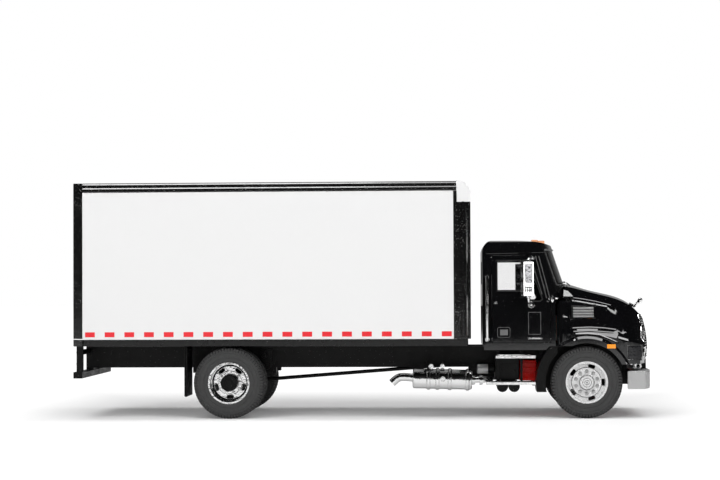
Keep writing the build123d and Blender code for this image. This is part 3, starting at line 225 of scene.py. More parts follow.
# ---------------------------------------------------------------- springs and axles
# Each spring is one arched black moulding, with U-bolts over its axle and a bracket at each eye. A
# plate with two bosses stands on each rail ahead of the rear axle, which carries a brake chamber on
# each side; the front beam has a tie rod behind it.
front_axle_x, rear_axle_x, axle_z = 97.05, -57.75, 15.5
spring_y, bolt_spread = 10.9, 1.35
casting("leaf_springs", moulded_black, ease=0.12)
casting("front_axle", moulded_black, ease=0.3)
casting("rear_axle_housing", moulded_black, ease=0.3)
hangers = bmesh.new()
for axle_x, reach in ((front_axle_x, 13.5), (rear_axle_x, 17.0)):
    for middle in (-spring_y, spring_y):
        for bolt_x in (axle_x - 2.2, axle_x + 2.2):
            for bolt_y in (middle - bolt_spread, middle + bolt_spread):
                rod(hangers, (bolt_x, bolt_y, axle_z - 2.4), (bolt_x, bolt_y, 22.4), 0.32, sides=8)
        for end_x in (axle_x - reach, axle_x + reach):
            eye_reach = math.copysign(1.9, middle)
            block(hangers, end_x - 1.7, end_x + 1.7, middle - 1.5, middle + 1.5, 19.0, 22.6)
            rod(hangers, (end_x, middle - eye_reach, 20.2), (end_x, middle + eye_reach, 20.2), 0.7, sides=10)
plate_x, plate_y = -43.4, 13.6
for side in (-1, 1):
    middle = side * plate_y
    block(hangers, plate_x - 2.6, plate_x + 2.6, middle - 0.7, middle + 0.7, 19.0, 29.4)
    for boss_x, boss_z, boss_radius in ((-0.9, 27.0, 1.7), (0.4, 21.8, 1.5)):
        spot = Vector((plate_x + boss_x, middle, boss_z))
        rod(hangers, spot, spot + Vector((0, side * 1.3, 0)), boss_radius, 0.85 * boss_radius, sides=20)
        rod(hangers, spot, spot + Vector((0, side * 1.9, 0)), 0.5 * boss_radius, sides=8)
shaped("spring_hangers", hangers, moulded_black, "chassis_black", ease=0.15)
chamber_x, chamber_z = rear_axle_x + 12.0, 21.4
brake_gear = bmesh.new()
for side in (-1, 1):
    for inner, outer, radius in ((15.6, 19.6, 2.3), (17.4, 17.8, 2.6)):
        start, end = (chamber_x, side * inner, chamber_z), (chamber_x, side * outer, chamber_z)
        rod(brake_gear, start, end, radius, sides=24)
    rod(brake_gear, (chamber_x, side * 12.0, 22.0), (chamber_x, side * 16.0, chamber_z), 0.8, sides=10)
    rod(brake_gear, (rear_axle_x + 8.0, side * 14.0, 16.2), (chamber_x, side * 14.0, 21.0), 0.5, sides=8)
tie_rod_x = front_axle_x - 5.0
rod(brake_gear, (tie_rod_x, -25.0, 13.2), (tie_rod_x, 25.0, 13.2), 0.55, sides=10)
shaped("brake_gear", brake_gear, moulded_black, "chassis_black", ease=0.15)

# ---------------------------------------------------------------- propeller shaft
# One thin plastic rod from the gearbox down to the rear axle, with a cross joint at each end.
shaft_front = Vector((66.2, 0.0, 24.0))
shaft_rear = Vector((-50.25, 0.0, 15.1))
shaft_way = (shaft_front - shaft_rear).normalized()
shaft = bmesh.new()
rod(shaft, shaft_rear, shaft_front, 0.82, sides=16)
for end_point, way in ((shaft_rear, shaft_way), (shaft_front, -shaft_way)):
    rod(shaft, end_point, end_point + 2.2 * way, 1.9, sides=16)
    rod(shaft, end_point + 2.2 * way, end_point + 4.4 * way, 1.5, 0.85, sides=16)
shaped("propeller_shaft", shaft, moulded_black, "chassis_black", "drive_shaft", ease=0.1)

# ---------------------------------------------------------------- engine, gearbox and radiator
# The power unit is a plain red block with its gearbox and a ribbed cooler beside that. A rocker
# cover, a belt pulley and hoses are on it, black inner wings shade it, and the radiator has fine
# upright fins.
engine_paint = surface("engine_paint", (0.75, 0.006, 0.003), (0.2, 0.36), skin=(0.9, 0.5), flecks=(1.1, 0.1),
                       Specular_IOR_Level=0.25)
casting("engine", engine_paint, ease=0.6)
casting("gearbox", engine_paint, ease=0.5)
ancillaries = bmesh.new()
block(ancillaries, 89.0, 109.0, -4.6, 4.6, 43.8, 45.6)
for bolt in range(5):
    for y in (-3.6, 3.6):
        rod(ancillaries, (91.0 + 4.0 * bolt, y, 45.5), (91.0 + 4.0 * bolt, y, 46.1), 0.5, sides=6)
rod(ancillaries, (111.8, 0.0, 27.0), (112.9, 0.0, 27.0), 3.4, sides=28)
for y, z, hose_radius in ((7.6, 38.0, 1.5), (-7.6, 36.0, 1.3)):
    rod(ancillaries, (88.0, y, z), (108.0, y, z), hose_radius, sides=14)
for rib in range(4):
    z = 16.6 + 2.2 * rib
    block(ancillaries, 69.1, 76.3, -19.25, -0.4, z, z + 0.5)
shaped("engine_ancillaries", ancillaries, engine_paint, "engine_red", ease=0.2)
inner_wings = bmesh.new()
slabs(inner_wings, 77.2, 113.5, 19.7, 0.4, 12.4, 32.0)
shaped("inner_wings", inner_wings, moulded_black, "chassis_black", ease=0.2)
casting("radiator", moulded_black, ease=0.15)
fin_count, first_fin, fin_pitch = 26, -10.6, 0.85
fins = bmesh.new()
for fin in range(fin_count):
    y = first_fin + fin_pitch * fin
    block(fins, 115.9, 116.15, y - 0.12, y + 0.12, 31.4, 39.8)
shaped("radiator_fins", fins, moulded_black, "chassis_black")

# ---------------------------------------------------------------- fuel tank, batteries and air tanks
# The round fuel tank on the left hangs in two straps. The battery box has a lip round its lid and
# two bolts, and the pair of air tanks crosses under it with rounded ends and a seam near each end.
casting("fuel_tank", moulded_black, ease=0.4)
casting("battery_box", moulded_black, ease=0.4)
casting("air_tanks", moulded_black, ease=0.5)
tank_y, tank_z, tank_radius = 20.9, 20.2, 6.2
holders = bmesh.new()
for strap_x in (51.0, 65.0):
    rod(holders, (strap_x - 0.8, tank_y, tank_z), (strap_x + 0.8, tank_y, tank_z), tank_radius + 0.2,
        sides=40)
rod(holders, (57.0, tank_y + 3.4, tank_z + 4.6), (57.0, tank_y + 4.6, tank_z + 6.2), 1.1, sides=16)
block(holders, 58.7, 68.1, -28.1, -12.7, 23.0, 23.7)
for bolt_x in (60.6, 66.2):
    rod(holders, (bolt_x, -28.3, 20.4), (bolt_x, -27.8, 20.4), 0.5, sides=8)
for air_x in (61.0, 66.1):
    for y0, y1, radius, sides in ((-25.4, -25.0, 2.5, 28), (6.0, 6.4, 2.5, 28), (-27.4, -26.9, 0.7, 10)):
        rod(holders, (air_x, y0, 13.4), (air_x, y1, 13.4), radius, sides=sides)
shaped("tank_straps", holders, moulded_black, "chassis_black", ease=0.1)

# ---------------------------------------------------------------- steps
# Two bright treads on each side, on black brackets that hang from the cab floor. The treads are
# plated plastic with raised ribs.
chrome_plate = surface("chrome_plate", (0.90, 0.90, 0.90), (0.04, 0.18), metal=1.0, skin=(1.6, 0.4),
                       cloud=2.0)
treads = bmesh.new()
for x0, x1, z0, z1 in ((58.0, 75.2, 25.9, 27.4), (53.8, 75.2, 14.5, 16.0)):
    slabs(treads, x0, x1, 31.1, 3.1, z0, z1 - 0.25)
    for rib in range(6):
        slabs(treads, x0 + 0.8, x1 - 0.8, 28.7 + 0.95 * rib, 0.15, z1 - 0.3, z1)
shaped("step_treads", treads, chrome_plate, "chrome", "steps", ease=0.25)
tread_arms = bmesh.new()
for arm_x in (59.0, 69.2):
    slabs(tread_arms, arm_x - 0.5, arm_x + 0.5, 29.6, 0.7, 15.6, 32.4)
    slabs(tread_arms, arm_x - 0.5, arm_x + 0.5, 22.0, 7.8, 24.6, 25.9)
shaped("step_brackets", tread_arms, moulded_black, "chassis_black", ease=0.15)


# ---------------------------------------------------------------- exhaust
# A plated silencer with welded bands on its body, a drain boss, a curved tail pipe with a cut end
# and a stepped inlet pipe. A satin canister and its black end cap stand above the inlet.


def joined(form, part, turn, place):
    """Moves the bmesh part to its place and adds it to form."""
    bmesh.ops.transform(part, matrix=Matrix.Translation(place) @ turn.to_4x4(), verts=part.verts)
    copy = bpy.data.meshes.new("part")
    part.to_mesh(copy)
    part.free()
    form.from_mesh(copy)
    bpy.data.meshes.remove(copy)


def turned(form, profile, start, way, sides=40):
    """Adds a turned piece: profile is (distance along, radius) from start, in the direction way."""
    part = bmesh.new()
    points = [part.verts.new((radius, 0.0, along)) for along, radius in profile]
    edges = [part.edges.new(pair) for pair in zip(points, points[1:])]
    bmesh.ops.spin(part, geom=points + edges, cent=(0, 0, 0), axis=(0, 0, 1), angle=math.tau, steps=sides,
                   use_merge=True)
    bmesh.ops.remove_doubles(part, verts=part.verts, dist=0.0005)
    bmesh.ops.recalc_face_normals(part, faces=part.faces)
    joined(form, part, Vector(way).to_track_quat("Z", "Y").to_matrix(), Vector(start))


def swept(form, points, radius, sides=14, ends=True, level=False):
    """Adds a pipe along points, mitred at every bend; level keeps every ring square to the x axis."""
    points = [Vector(point) for point in points]
    ways = [(after - before).normalized() for before, after in zip(points, points[1:])]
    part = bmesh.new()
    ring = bmesh.ops.create_circle(part, cap_ends=False, radius=radius, segments=sides)["verts"]
    edges = list(part.edges)
    facing, centre = Vector((0.0, 0.0, 1.0)), Vector()
    for index, point in enumerate(points):
        heading = (ways[max(index - 1, 0)] + ways[min(index, len(ways) - 1)]).normalized()
        if level:
            heading = Vector((1.0, 0.0, 0.0))
        if index:
            pulled = bmesh.ops.extrude_edge_only(part, edges=edges)["geom"]
            ring = [item for item in pulled if isinstance(item, bmesh.types.BMVert)]
            edges = [item for item in pulled if isinstance(item, bmesh.types.BMEdge)
                     and all(vert in ring for vert in item.verts)]
        turn = facing.rotation_difference(heading).to_matrix()
        bmesh.ops.rotate(part, cent=centre, matrix=turn, verts=ring)
        bmesh.ops.translate(part, vec=point - centre, verts=ring)
        facing, centre = heading, point
    if ends:
        bmesh.ops.holes_fill(part, edges=part.edges, sides=sides)
    bmesh.ops.recalc_face_normals(part, faces=part.faces)
    joined(form, part, Matrix.Identity(3), Vector())


def bend(points, count=5):
    """Rounds a path's corners: each inner point becomes a short curve of count steps."""
    path = [Vector(points[0])]
    for a, b, c in zip(points, points[1:], points[2:]):
        a, b, c = Vector(a), Vector(b), Vector(c)
        first, last = b.lerp(a, 0.45), b.lerp(c, 0.45)
        path += [first.lerp(b, t / count).lerp(b.lerp(last, t / count), t / count) for t in range(count + 1)]
    return path + [Vector(points[-1])]


silencer_front = Vector((47.8, -29.6, 16.5))
silencer_rear = Vector((22.0, -29.6, 17.2))
silencer_way = (silencer_front - silencer_rear).normalized()
silencer_length = (silencer_front - silencer_rear).length
silencer_radius, end_round, band_height = 4.3, 0.9, 0.5
end_steps = [math.radians(angle) for angle in (20, 45, 70, 90)]
round_end = [(0.0, 0.0), (0.0, silencer_radius - end_round)]
round_end += [(end_round * (1 - math.cos(angle)), silencer_radius - end_round * (1 - math.sin(angle)))
              for angle in end_steps]
silencer_profile = list(round_end)
for band_at in (6.9, 10.8, 16.1, 23.8):
    silencer_profile += [(band_at - 0.9, silencer_radius), (band_at - 0.45, silencer_radius + band_height),
                         (band_at + 0.45, silencer_radius + band_height), (band_at + 0.9, silencer_radius)]
silencer_profile += [(silencer_length - along, radius) for along, radius in reversed(round_end)]
silencer = bmesh.new()
turned(silencer, silencer_profile, silencer_rear, silencer_way, sides=56)
boss = silencer_rear.lerp(silencer_front, 0.51)
for near, far, radius, end_radius, sides in ((4.0, 4.75, 1.25, 1.1, 20), (4.7, 5.0, 0.55, None, 12)):
    start, end = boss + Vector((0, -near, 0.2)), boss + Vector((0, -far, 0.2))
    rod(silencer, start, end, radius, end_radius, sides=sides)
for lug_x in (30.0, 34.9):
    rod(silencer, (lug_x, -29.6, 19.8), (lug_x, -29.6, 23.4), 0.8, sides=12)
    rod(silencer, (lug_x, -31.0, 22.3), (lug_x, -28.2, 22.3), 1.05, sides=16)
tail_bend = bend(((24.0, -29.6, 17.2), (18.6, -29.6, 17.9), (15.6, -29.6, 17.6), (13.0, -29.6, 15.2)))
for pipe_radius in (1.75, 1.45):
    swept(silencer, tail_bend, pipe_radius, sides=20, ends=False)
for collar in (0.0, 3.2):
    start, end = silencer_front + collar * silencer_way, silencer_front + (collar + 1.4) * silencer_way
    rod(silencer, start, end, 2.2, 1.9, sides=24)
inlet_bend = bend(((47.0, -29.6, 16.6), (52.5, -29.6, 16.6), (55.8, -26.5, 16.6), (55.8, -21.0, 16.6)))
swept(silencer, inlet_bend, 1.35, sides=18)
muffler_chrome = surface("muffler_chrome", (0.86, 0.86, 0.86), (0.05, 0.2), metal=1.0, skin=(1.9, 3.2),
                         cloud=1.6)
shaped("silencer", silencer, muffler_chrome, "chrome", "exhaust", fold=40.0)
satin_metal = surface("satin_metal", (0.60, 0.60, 0.60), (0.30, 0.45), metal=0.9, skin=(0.6, 0.3))
canister_profile = ((0, 0), (0, 1.7), (0.4, 2.1), (4.6, 2.1), (5.0, 1.7), (5.0, 0))
cap_profile = ((0, 0), (0, 1.9), (2.6, 1.9), (3.2, 1.3), (4.4, 1.3), (4.4, 0))
canister = bmesh.new()
turned(canister, canister_profile, (50.0, -24.0, 21.0), (1, 0, 0), sides=32)
block(canister, 51.6, 52.6, -24.6, -13.0, 20.4, 21.6)
shaped("filter_canister", canister, satin_metal, "bumper_silver")
canister_cap = bmesh.new()
turned(canister_cap, cap_profile, (54.8, -24.0, 21.0), (1, 0, 0), sides=28)
shaped("canister_cap", canister_cap, moulded_black, "chassis_black")

# ---------------------------------------------------------------- mud flaps and splash guards
# Flaps of plain black plastic hang from the underframe behind the rear wheels, with a thicker outer
# edge and a row of bolts. Behind each front wheel a curved guard closes the arch, with stiffening
# folds along its outer side.
casting("mud_flaps", moulded_black, ease=0.3)
flap_edges = bmesh.new()
for side in (-1, 1):
    block(flap_edges, -77.0, -75.7, side * 35.9 - 0.5, side * 35.9 + 0.5, 9.8, 31.4)
    for bolt_y in (20.5, 26.0, 31.5):
        rod(flap_edges, (-77.0, side * bolt_y, 29.4), (-75.6, side * bolt_y, 29.4), 0.6, sides=8)
shaped("flap_edges", flap_edges, moulded_black, "chassis_black", ease=0.15)
casting("splash_guards", moulded_black, ease=0.3)
wing_edges = bmesh.new()
guard_head, guard_foot = 28.0, 11.9
for side in (-1, 1):
    for radius, y in ((21.5, 34.8), (18.1, 34.8), (19.8, 34.6)):
        first = math.pi - math.asin((guard_head - axle_z) / radius)
        last = math.pi + math.asin((axle_z - guard_foot) / radius)
        angles = [first + (last - first) * step / 16 for step in range(17)]
        arc = [(front_axle_x + radius * math.cos(angle), side * y, axle_z + radius * math.sin(angle))
               for angle in angles]
        swept(wing_edges, arc, 0.3, sides=6)
shaped("wing_edges", wing_edges, moulded_black, "chassis_black")

# ---------------------------------------------------------------- front bumper
# A bowed bumper, sprayed grainy silver, on two black brackets that come from the rails. Tow eyes
# and the hood's hinge lugs stand on it, and a row of bolts is on its front.
bumper_paint = surface("bumper_paint", (0.56, 0.56, 0.56), (0.36, 0.52), metal=0.55, skin=(0.32, 0.55),
                       cloud=1.2)
casting("front_bumper", bumper_paint, ease=0.55, steps=3)
casting("bumper_brackets", moulded_black, ease=0.15)
casting("tow_eyes", chrome_plate, ease=0.1)
bumper_end_x, bumper_bow, bumper_half = 122.3, 3.6, 35.0
bumper_bolts = bmesh.new()
for y in (-30.0, -26.0, -17.0, 17.0, 26.0, 30.0):
    x = bumper_end_x + bumper_bow * (1 - (y / bumper_half) ** 2)
    rod(bumper_bolts, (x - 0.6, y, 16.5), (x + 0.25, y, 16.5), 0.7, 0.5, sides=12)
shaped("bumper_bolts", bumper_bolts, bumper_paint, "bumper_silver")

# ---------------------------------------------------------------- rear guard
# The underride bar is moulded in black with the two outer and two inner plates that it hangs from.
# Bolt heads stand on the outer plates.
casting("rear_guard", moulded_black, ease=0.25)
guard_bolts = bmesh.new()
for z in (19.0, 24.0, 29.0):
    pins(guard_bolts, -124.0, z, 34.9, 35.25, 0.55, sides=8)
shaped("guard_bolts", guard_bolts, moulded_black, "chassis_black")

# ---------------------------------------------------------------- load box: floor, walls and roof
# Smooth white panels on black cross-bearers. Walls, roof and door are painted plastic plates that
# are glued into their frames, so each has slightly soft edges and an even, faintly mottled white.
panel_white = surface("panel_white", (0.80, 0.80, 0.80), (0.38, 0.46), skin=(0.8, 0.06), cloud=9.0)
for node in ("box_side_right", "box_side_left", "box_roof", "box_front_wall", "box_floor"):
    casting(node, panel_white, ease=0.12)
casting("roll_up_door", panel_white, ease=0.2)
bearer_black = surface("bearer_black", (0.009, 0.009, 0.009), (0.25, 0.4), skin=(0.5, 0.3),
                       flecks=(1.0, 0.12))
casting("box_underframe", bearer_black, ease=0.2)
slat_count, first_slat, slat_pitch = 6, 41.2, 10.15
door_rollers = bmesh.new()
for slat in range(slat_count):
    for y in (-30.4, 30.4):
        z = first_slat + slat_pitch * slat
        rod(door_rollers, (-123.6, y, z), (-124.0, y, z), 0.8, 0.6, sides=14)
shaped("door_rollers", door_rollers, satin_metal, "bumper_silver")
casting("door_latch", chrome_plate, ease=0.2)

# ---------------------------------------------------------------- reflective tape
# Short red strips of reflective tape along the foot of both side panels, evenly spaced and flush.
tape_red = surface("tape_red", (0.78, 0.025, 0.035), (0.30, 0.42), skin=(0.3, 0.3))
dash_first, dash_length, dash_pitch, dash_count = -120.2, 4.27, 8.611, 19
dash_foot, dash_head, panel_side = 35.65, 37.78, 37.5
tape = bmesh.new()
for dash in range(dash_count):
    x = dash_first + dash_pitch * dash
    slabs(tape, x, x + dash_length, panel_side, 0.05, dash_foot, dash_head)
shaped("reflective_tape", tape, tape_red, "red_lens")

# ---------------------------------------------------------------- top rails, corner posts and cap
# Extruded black rails close the panels at the roof: two flat bands with a sloping ledge between
# them. The front posts have upright beads, and a white moulded cap with rounded corners joins them.
trim_black = surface("trim_black", (0.006, 0.006, 0.006), (0.06, 0.14), skin=(0.45, 0.3), flecks=(0.75, 0.26),
                     Specular_IOR_Level=0.9)
rail_rear, rail_front = -121.4, 41.3
rail_profile = (
    (36.2, 98.5), (37.46, 98.5), (37.60, 98.62), (37.60, 98.85), (37.84, 98.95), (37.84, 100.00),
    (37.34, 100.50), (37.34, 101.75), (36.8, 102.29), (36.7, 102.6), (36.2, 102.6))
rails = bmesh.new()
for side in (-1, 1):
    rail = bmesh.new()
    end_face = rail.faces.new([rail.verts.new((rail_rear, side * y, z)) for y, z in rail_profile])
    pulled = bmesh.ops.extrude_face_region(rail, geom=[end_face])["geom"]
    bmesh.ops.translate(rail, vec=(rail_front - rail_rear, 0, 0),
                        verts=[item for item in pulled if isinstance(item, bmesh.types.BMVert)])
    bmesh.ops.recalc_face_normals(rail, faces=rail.faces)
    joined(rails, rail, Matrix.Identity(3), Vector())
shaped("roof_rails", rails, trim_black, "box_black", "top_rails", ease=0.05, fold=20.0)
casting("front_posts", trim_black, ease=0.35)
upright_beads = ((44.35, 37.42, 34.9, 93.3, 0.42, 12), (45.6, 37.42, 34.9, 93.3, 0.42, 12),
                 (42.6, 37.42, 34.9, 93.3, 0.3, 12), (45.6, 37.45, 36.0, 91.0, 0.6, 4))
beads = bmesh.new()
for side in (-1, 1):
    for bead_x, y, z0, z1, radius, sides in upright_beads:
        rod(beads, (bead_x, side * y, z0), (bead_x, side * y, z1), radius, sides=sides)
slabs(beads, 40.0, 41.5, panel_side, 0.12, 34.6, 98.4)
for bolt in range(7):
    pins(beads, 46.7, 39.0 + 8.3 * bolt, 37.3, 37.75, 0.35, sides=8)
shaped("post_beads", beads, trim_black, "box_black")
casting("front_header", panel_white, ease=0.4, steps=3)
seams = bmesh.new()
slabs(seams, 41.22, 41.38, 37.52, 0.03, 93.6, 98.5)
slabs(seams, 43.8, 44.6, 37.52, 0.03, 93.45, 93.75)
shaped("cap_seams", seams, moulded_black, "chassis_black")

# ---------------------------------------------------------------- rear frame and lamps
# The door stands in a moulded black portal frame. A strip of white sealant lies at each side of its
# foot, the sides have upright rub rails, and small red lamps are set in the header and the lower
# corners.
casting("rear_frame", trim_black, ease=0.3)
lamp_red = surface("lamp_red", (0.55, 0.012, 0.012), (0.06, 0.12), skin=(0.5, 0.15))
casting("rear_lamps", lamp_red, ease=0.1, set_in=0.2)
sealant = bmesh.new()
slabs(sealant, -125.3, -121.3, panel_side, 0.08, 34.55, 34.95)
shaped("sealant", sealant, panel_white, "box_white")
rub_rails = bmesh.new()
for rail_x in (-124.3, -122.6):
    slabs(rub_rails, rail_x - 0.25, rail_x + 0.25, panel_side, 0.12, 37.2, 101.6)
shaped("rub_rails", rub_rails, trim_black, "box_black", ease=0.08)

# ---------------------------------------------------------------- cab shell and doors
# A die-cast cab in deep gloss black. The roof's drip ledge, the door handles, a peep window low in
# each door, a bright sill strip and a blank plate stand on it.
cab_gloss = surface("cab_gloss", (0.003, 0.003, 0.0035), (0.035, 0.06), skin=(1.4, 0.05), flecks=(1.3, 0.10),
                    Specular_IOR_Level=0.5, Coat_Weight=0.5, Coat_Roughness=0.03)
casting("cab_shell", cab_gloss, ease=0.45, fold=24.0, steps=3)
casting("door_right", cab_gloss, ease=0.15)
casting("door_left", cab_gloss, ease=0.15)
cab_half, cab_belt, cab_edge, roof_half = 31.0, 54.0, 75.4, 28.7


def on_cab(x, z, side, proud=0.0):
    """The point of the cab's side at x and height z, proud of it outwards."""
    half = cab_half - (cab_half - roof_half) / (cab_edge - cab_belt) * max(0.0, z - cab_belt)
    return Vector((x, side * (half + proud), z))


ledge_line = ((54.2, 71.3, 0.12), (70.0, 71.6, 0.12), (81.6, 71.9, 0.1))
grip_line = ((57.4, 31.1), (57.8, 31.4), (58.5, 31.4), (58.9, 31.1))
drip_ledges = bmesh.new()
handles = bmesh.new()
for side in (-1, 1):
    swept(drip_ledges, [on_cab(x, z, side, proud) for x, z, proud in ledge_line], 0.28, sides=8)
    for z in (50.2, 49.6):
        swept(handles, [(x, side * y, z) for x, y in grip_line], 0.18, sides=8)
pins(handles, 80.6, 50.6, cab_half, 31.9, 0.55, 0.4, sides=14)
slabs(handles, 72.1, 78.5, 31.15, 0.2, 34.1, 34.8)
shaped("drip_ledges", drip_ledges, cab_gloss, "cab_black")
shaped("door_handles", handles, chrome_plate, "chrome", ease=0.1)


def beaded(form, corners, radius, ends=False):
    """Adds a bead round a closed outline, with a ball at every corner."""
    for start, end in zip(corners, corners[1:] + corners[:1]):
        rod(form, start, end, radius, sides=8, ends=ends)
        ball(form, end, radius, rings=4)


window_outline = ((58.8, 55.0), (58.8, 68.3), (72.4, 68.3), (78.4, 51.6), (77.4, 50.6), (73.4, 50.6),
                  (71.2, 55.0))
peep_outline = ((72.3, 36.2), (72.3, 45.7), (77.6, 45.7), (77.6, 36.2))
plate_outline = ((59.3, 34.9), (58.9, 35.4), (58.9, 38.7), (59.3, 39.2), (63.9, 39.2), (64.3, 38.7),
                 (64.3, 35.4), (63.9, 34.9))
# Grey beads along the door and pillar edges, and round the peep windows and blank plates: their pale grey is
# painted highlight, standing for light caught along those edges.
pillar_highlight_lines = (((74.0, 68.0), (78.2, 53.6), 0.2), ((75.6, 70.1), (80.2, 51.9), 0.24),
                ((77.0, 70.1), (81.6, 51.9), 0.24))
rubber = surface("rubber", (0.012, 0.012, 0.012), (0.25, 0.4), skin=(0.4, 0.2))
# A lighter grey for thin lines. On the black cab its tone is painted highlight, standing for light caught
# along edges and outlines; it also colours the screen gasket and headlight bezels, and on the front rims it
# is painted shade in the grooves.
grey_highlight_and_shade = surface("grey_highlight_and_shade", (0.085, 0.085, 0.085), (0.2, 0.35), skin=(0.5, 0.3))
gaskets = bmesh.new()
edge_highlight_beads = bmesh.new()
for side in (-1, 1):
    for form, outline, radius in ((gaskets, window_outline, 0.3), (edge_highlight_beads, peep_outline, 0.17),
                                  (edge_highlight_beads, plate_outline, 0.15)):
        beaded(form, [on_cab(x, z, side, 0.05) for x, z in outline], radius)
    for start, end, radius in pillar_highlight_lines:
        rod(edge_highlight_beads, on_cab(*start, side, 0.1), on_cab(*end, side, 0.1), radius, sides=8)
shaped("window_gaskets", gaskets, rubber, "black_plastic")
# grey beads: painted highlight lines on the cab's edges
shaped("edge_highlight_beads", edge_highlight_beads, grey_highlight_and_shade, "black_plastic")
plate_grey = surface("plate_grey", (0.16, 0.16, 0.16), (0.3, 0.5), metal=0.3, skin=(0.6, 2.0))
plates = bmesh.new()
slabs(plates, 60.0, 63.4, cab_half, 0.06, 35.8, 38.3)
shaped("blank_plates", plates, plate_grey, "bumper_silver", ease=0.05)
peeps = bmesh.new()
slabs(peeps, 72.4, 77.5, cab_half, 0.03, 36.3, 45.6)
shaped("peep_windows", peeps, cab_gloss, "cab_black")
oval_profile = ((0.0, 0.0), (0.0, 1.0), (0.35, 0.9), (0.45, 0.0))
ovals = bmesh.new()
for side in (-1, 1):
    oval = bmesh.new()
    turned(oval, oval_profile, (0, 0, 0), (0, side, 0), sides=28)
    bmesh.ops.scale(oval, vec=(0.75, 1.0, 1.9), verts=oval.verts)
    joined(ovals, oval, Matrix.Identity(3), Vector((82.7, side * 30.75, 51.7)))
shaped("cowl_badges", ovals, chrome_plate, "chrome")

# ---------------------------------------------------------------- glass
# Thin clear plastic panes, let into rubber. The windscreen is one bowed piece in a grey gasket, and
# two wipers lie on its foot.
glass = bpy.data.materials.new("clear_pane")
glass.use_nodes = True
tree = glass.node_tree
tree.nodes.clear()
out = added(tree, "OutputMaterial")
through = added(tree, "BsdfTransparent", {"Color": (0.985, 0.985, 0.985, 1.0)})
mirror = added(tree, "BsdfGlossy", {"Roughness": 0.02})
edge_on = added(tree, "Fresnel", {"IOR": 1.45})
both = added(tree, "MixShader")
wired(tree, (edge_on.outputs[0], both.inputs[0]), (through.outputs[0], both.inputs[1]),
      (mirror.outputs[0], both.inputs[2]), (both.outputs[0], out.inputs["Surface"]))
for node in ("side_windows", "rear_window", "windscreen"):
    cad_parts[node].material_slots[0].material = glass
screen_foot_x, screen_foot_z, screen_slope, screen_bow, screen_half = 89.85, 56.6, 0.337, 5.6, 29.0


def on_screen(y, z):
    """The point of the bowed windscreen at y and height z."""
    x = screen_foot_x - screen_slope * (z - screen_foot_z) - screen_bow * (y / screen_half) ** 2
    return Vector((x, y, z))


screen_corners = [(-27.2, 58.6), (-27.2, 71.8), (-26.2, 73.0), (26.2, 73.0), (27.2, 71.8), (27.2, 58.6),
                  (26.0, 57.5), (-26.0, 57.5)]
screen_edge = bmesh.new()
for (y0, z0), (y1, z1) in zip(screen_corners, screen_corners[1:] + screen_corners[:1]):
    edge_line = [on_screen(y0 + (y1 - y0) * t / 8, z0 + (z1 - z0) * t / 8) for t in range(9)]
    swept(screen_edge, edge_line, 0.32, sides=8)
# The gasket's grey is partly its own colour and partly painted highlight along the screen's edge.
shaped("screen_gasket", screen_edge, grey_highlight_and_shade, "black_plastic")
wipers = bmesh.new()
for foot_y, tip_y in ((3.0, 20.0), (-17.0, -1.0)):
    tip_x = 90.4 - screen_bow * (tip_y / screen_half) ** 2
    heel_x = 90.2 - screen_bow * ((foot_y + 2.0) / screen_half) ** 2
    swept(wipers, ((90.9, foot_y, 57.4), (tip_x + 0.2, tip_y, 58.4)), 0.28, sides=6)
    swept(wipers, ((heel_x, foot_y + 2.0, 58.8), (tip_x - 0.4, tip_y + 4.0, 58.6)), 0.3, sides=6)
shaped("wipers", wipers, rubber, "black_plastic")

# ---------------------------------------------------------------- cab inside
# Two grey seats on pedestals, a black dashboard with bright dials and knobs, and the steering wheel
# on its column, all simple plastic mouldings.
seat_cloth = surface("seat_cloth", (0.17, 0.17, 0.175), (0.6, 0.8), skin=(0.35, 0.6), cloud=2.0)
casting("seats", seat_cloth, ease=0.9, steps=3)
dark_plastic = surface("dark_plastic", (0.014, 0.014, 0.014), (0.35, 0.5), skin=(0.3, 0.4))
casting("dashboard", dark_plastic, ease=0.4)
casting("steering_wheel", dark_plastic, ease=0.15)
dials = bmesh.new()
for dial_y in (10.6, 14.0, 17.4):
    rod(dials, (76.3, dial_y, 48.0), (76.0, dial_y, 48.2), 1.2, sides=20)
for knob in range(5):
    knob_y = -6.0 + 2.4 * knob
    rod(dials, (76.6, knob_y, 46.4), (76.0, knob_y, 46.4), 0.5, sides=12)
shaped("dials", dials, chrome_plate, "chrome")

# ---------------------------------------------------------------- mirrors and grab rails
# Mirrors on plated stalks: a chrome case holds a tall pane above a small wide-angle one, on both
# its faces. The grab rails behind the doors are plated rods on short feet.
mirror_x, mirror_y, mirror_z, mirror_turn = 71.6, 38.0, 60.2, 40.0
cases = bmesh.new()
panes = bmesh.new()
wide_panes = bmesh.new()
spans = [(cases, (-0.85, 0.85, -3.4, 3.4, -7.3, 7.3)), (panes, (-0.95, -0.8, -2.8, 2.8, -1.6, 6.7)),
         (panes, (0.8, 0.95, -2.7, 2.7, -1.9, 6.6)), (wide_panes, (0.8, 0.95, -2.7, 2.7, -5.9, -2.7)),
         (wide_panes, (-0.95, -0.8, -2.8, 2.8, -6.2, -2.6))]
spans += [(cases, (0.9, 1.05, y - 0.3, y + 0.3, z - 0.3, z + 0.3)) for y in (-2.0, -0.7, 0.7, 2.0)
          for z in (-5.3, -4.3, -3.3)]
arm_x, arm_head, arm_foot = 74.2, 69.4, 49.0
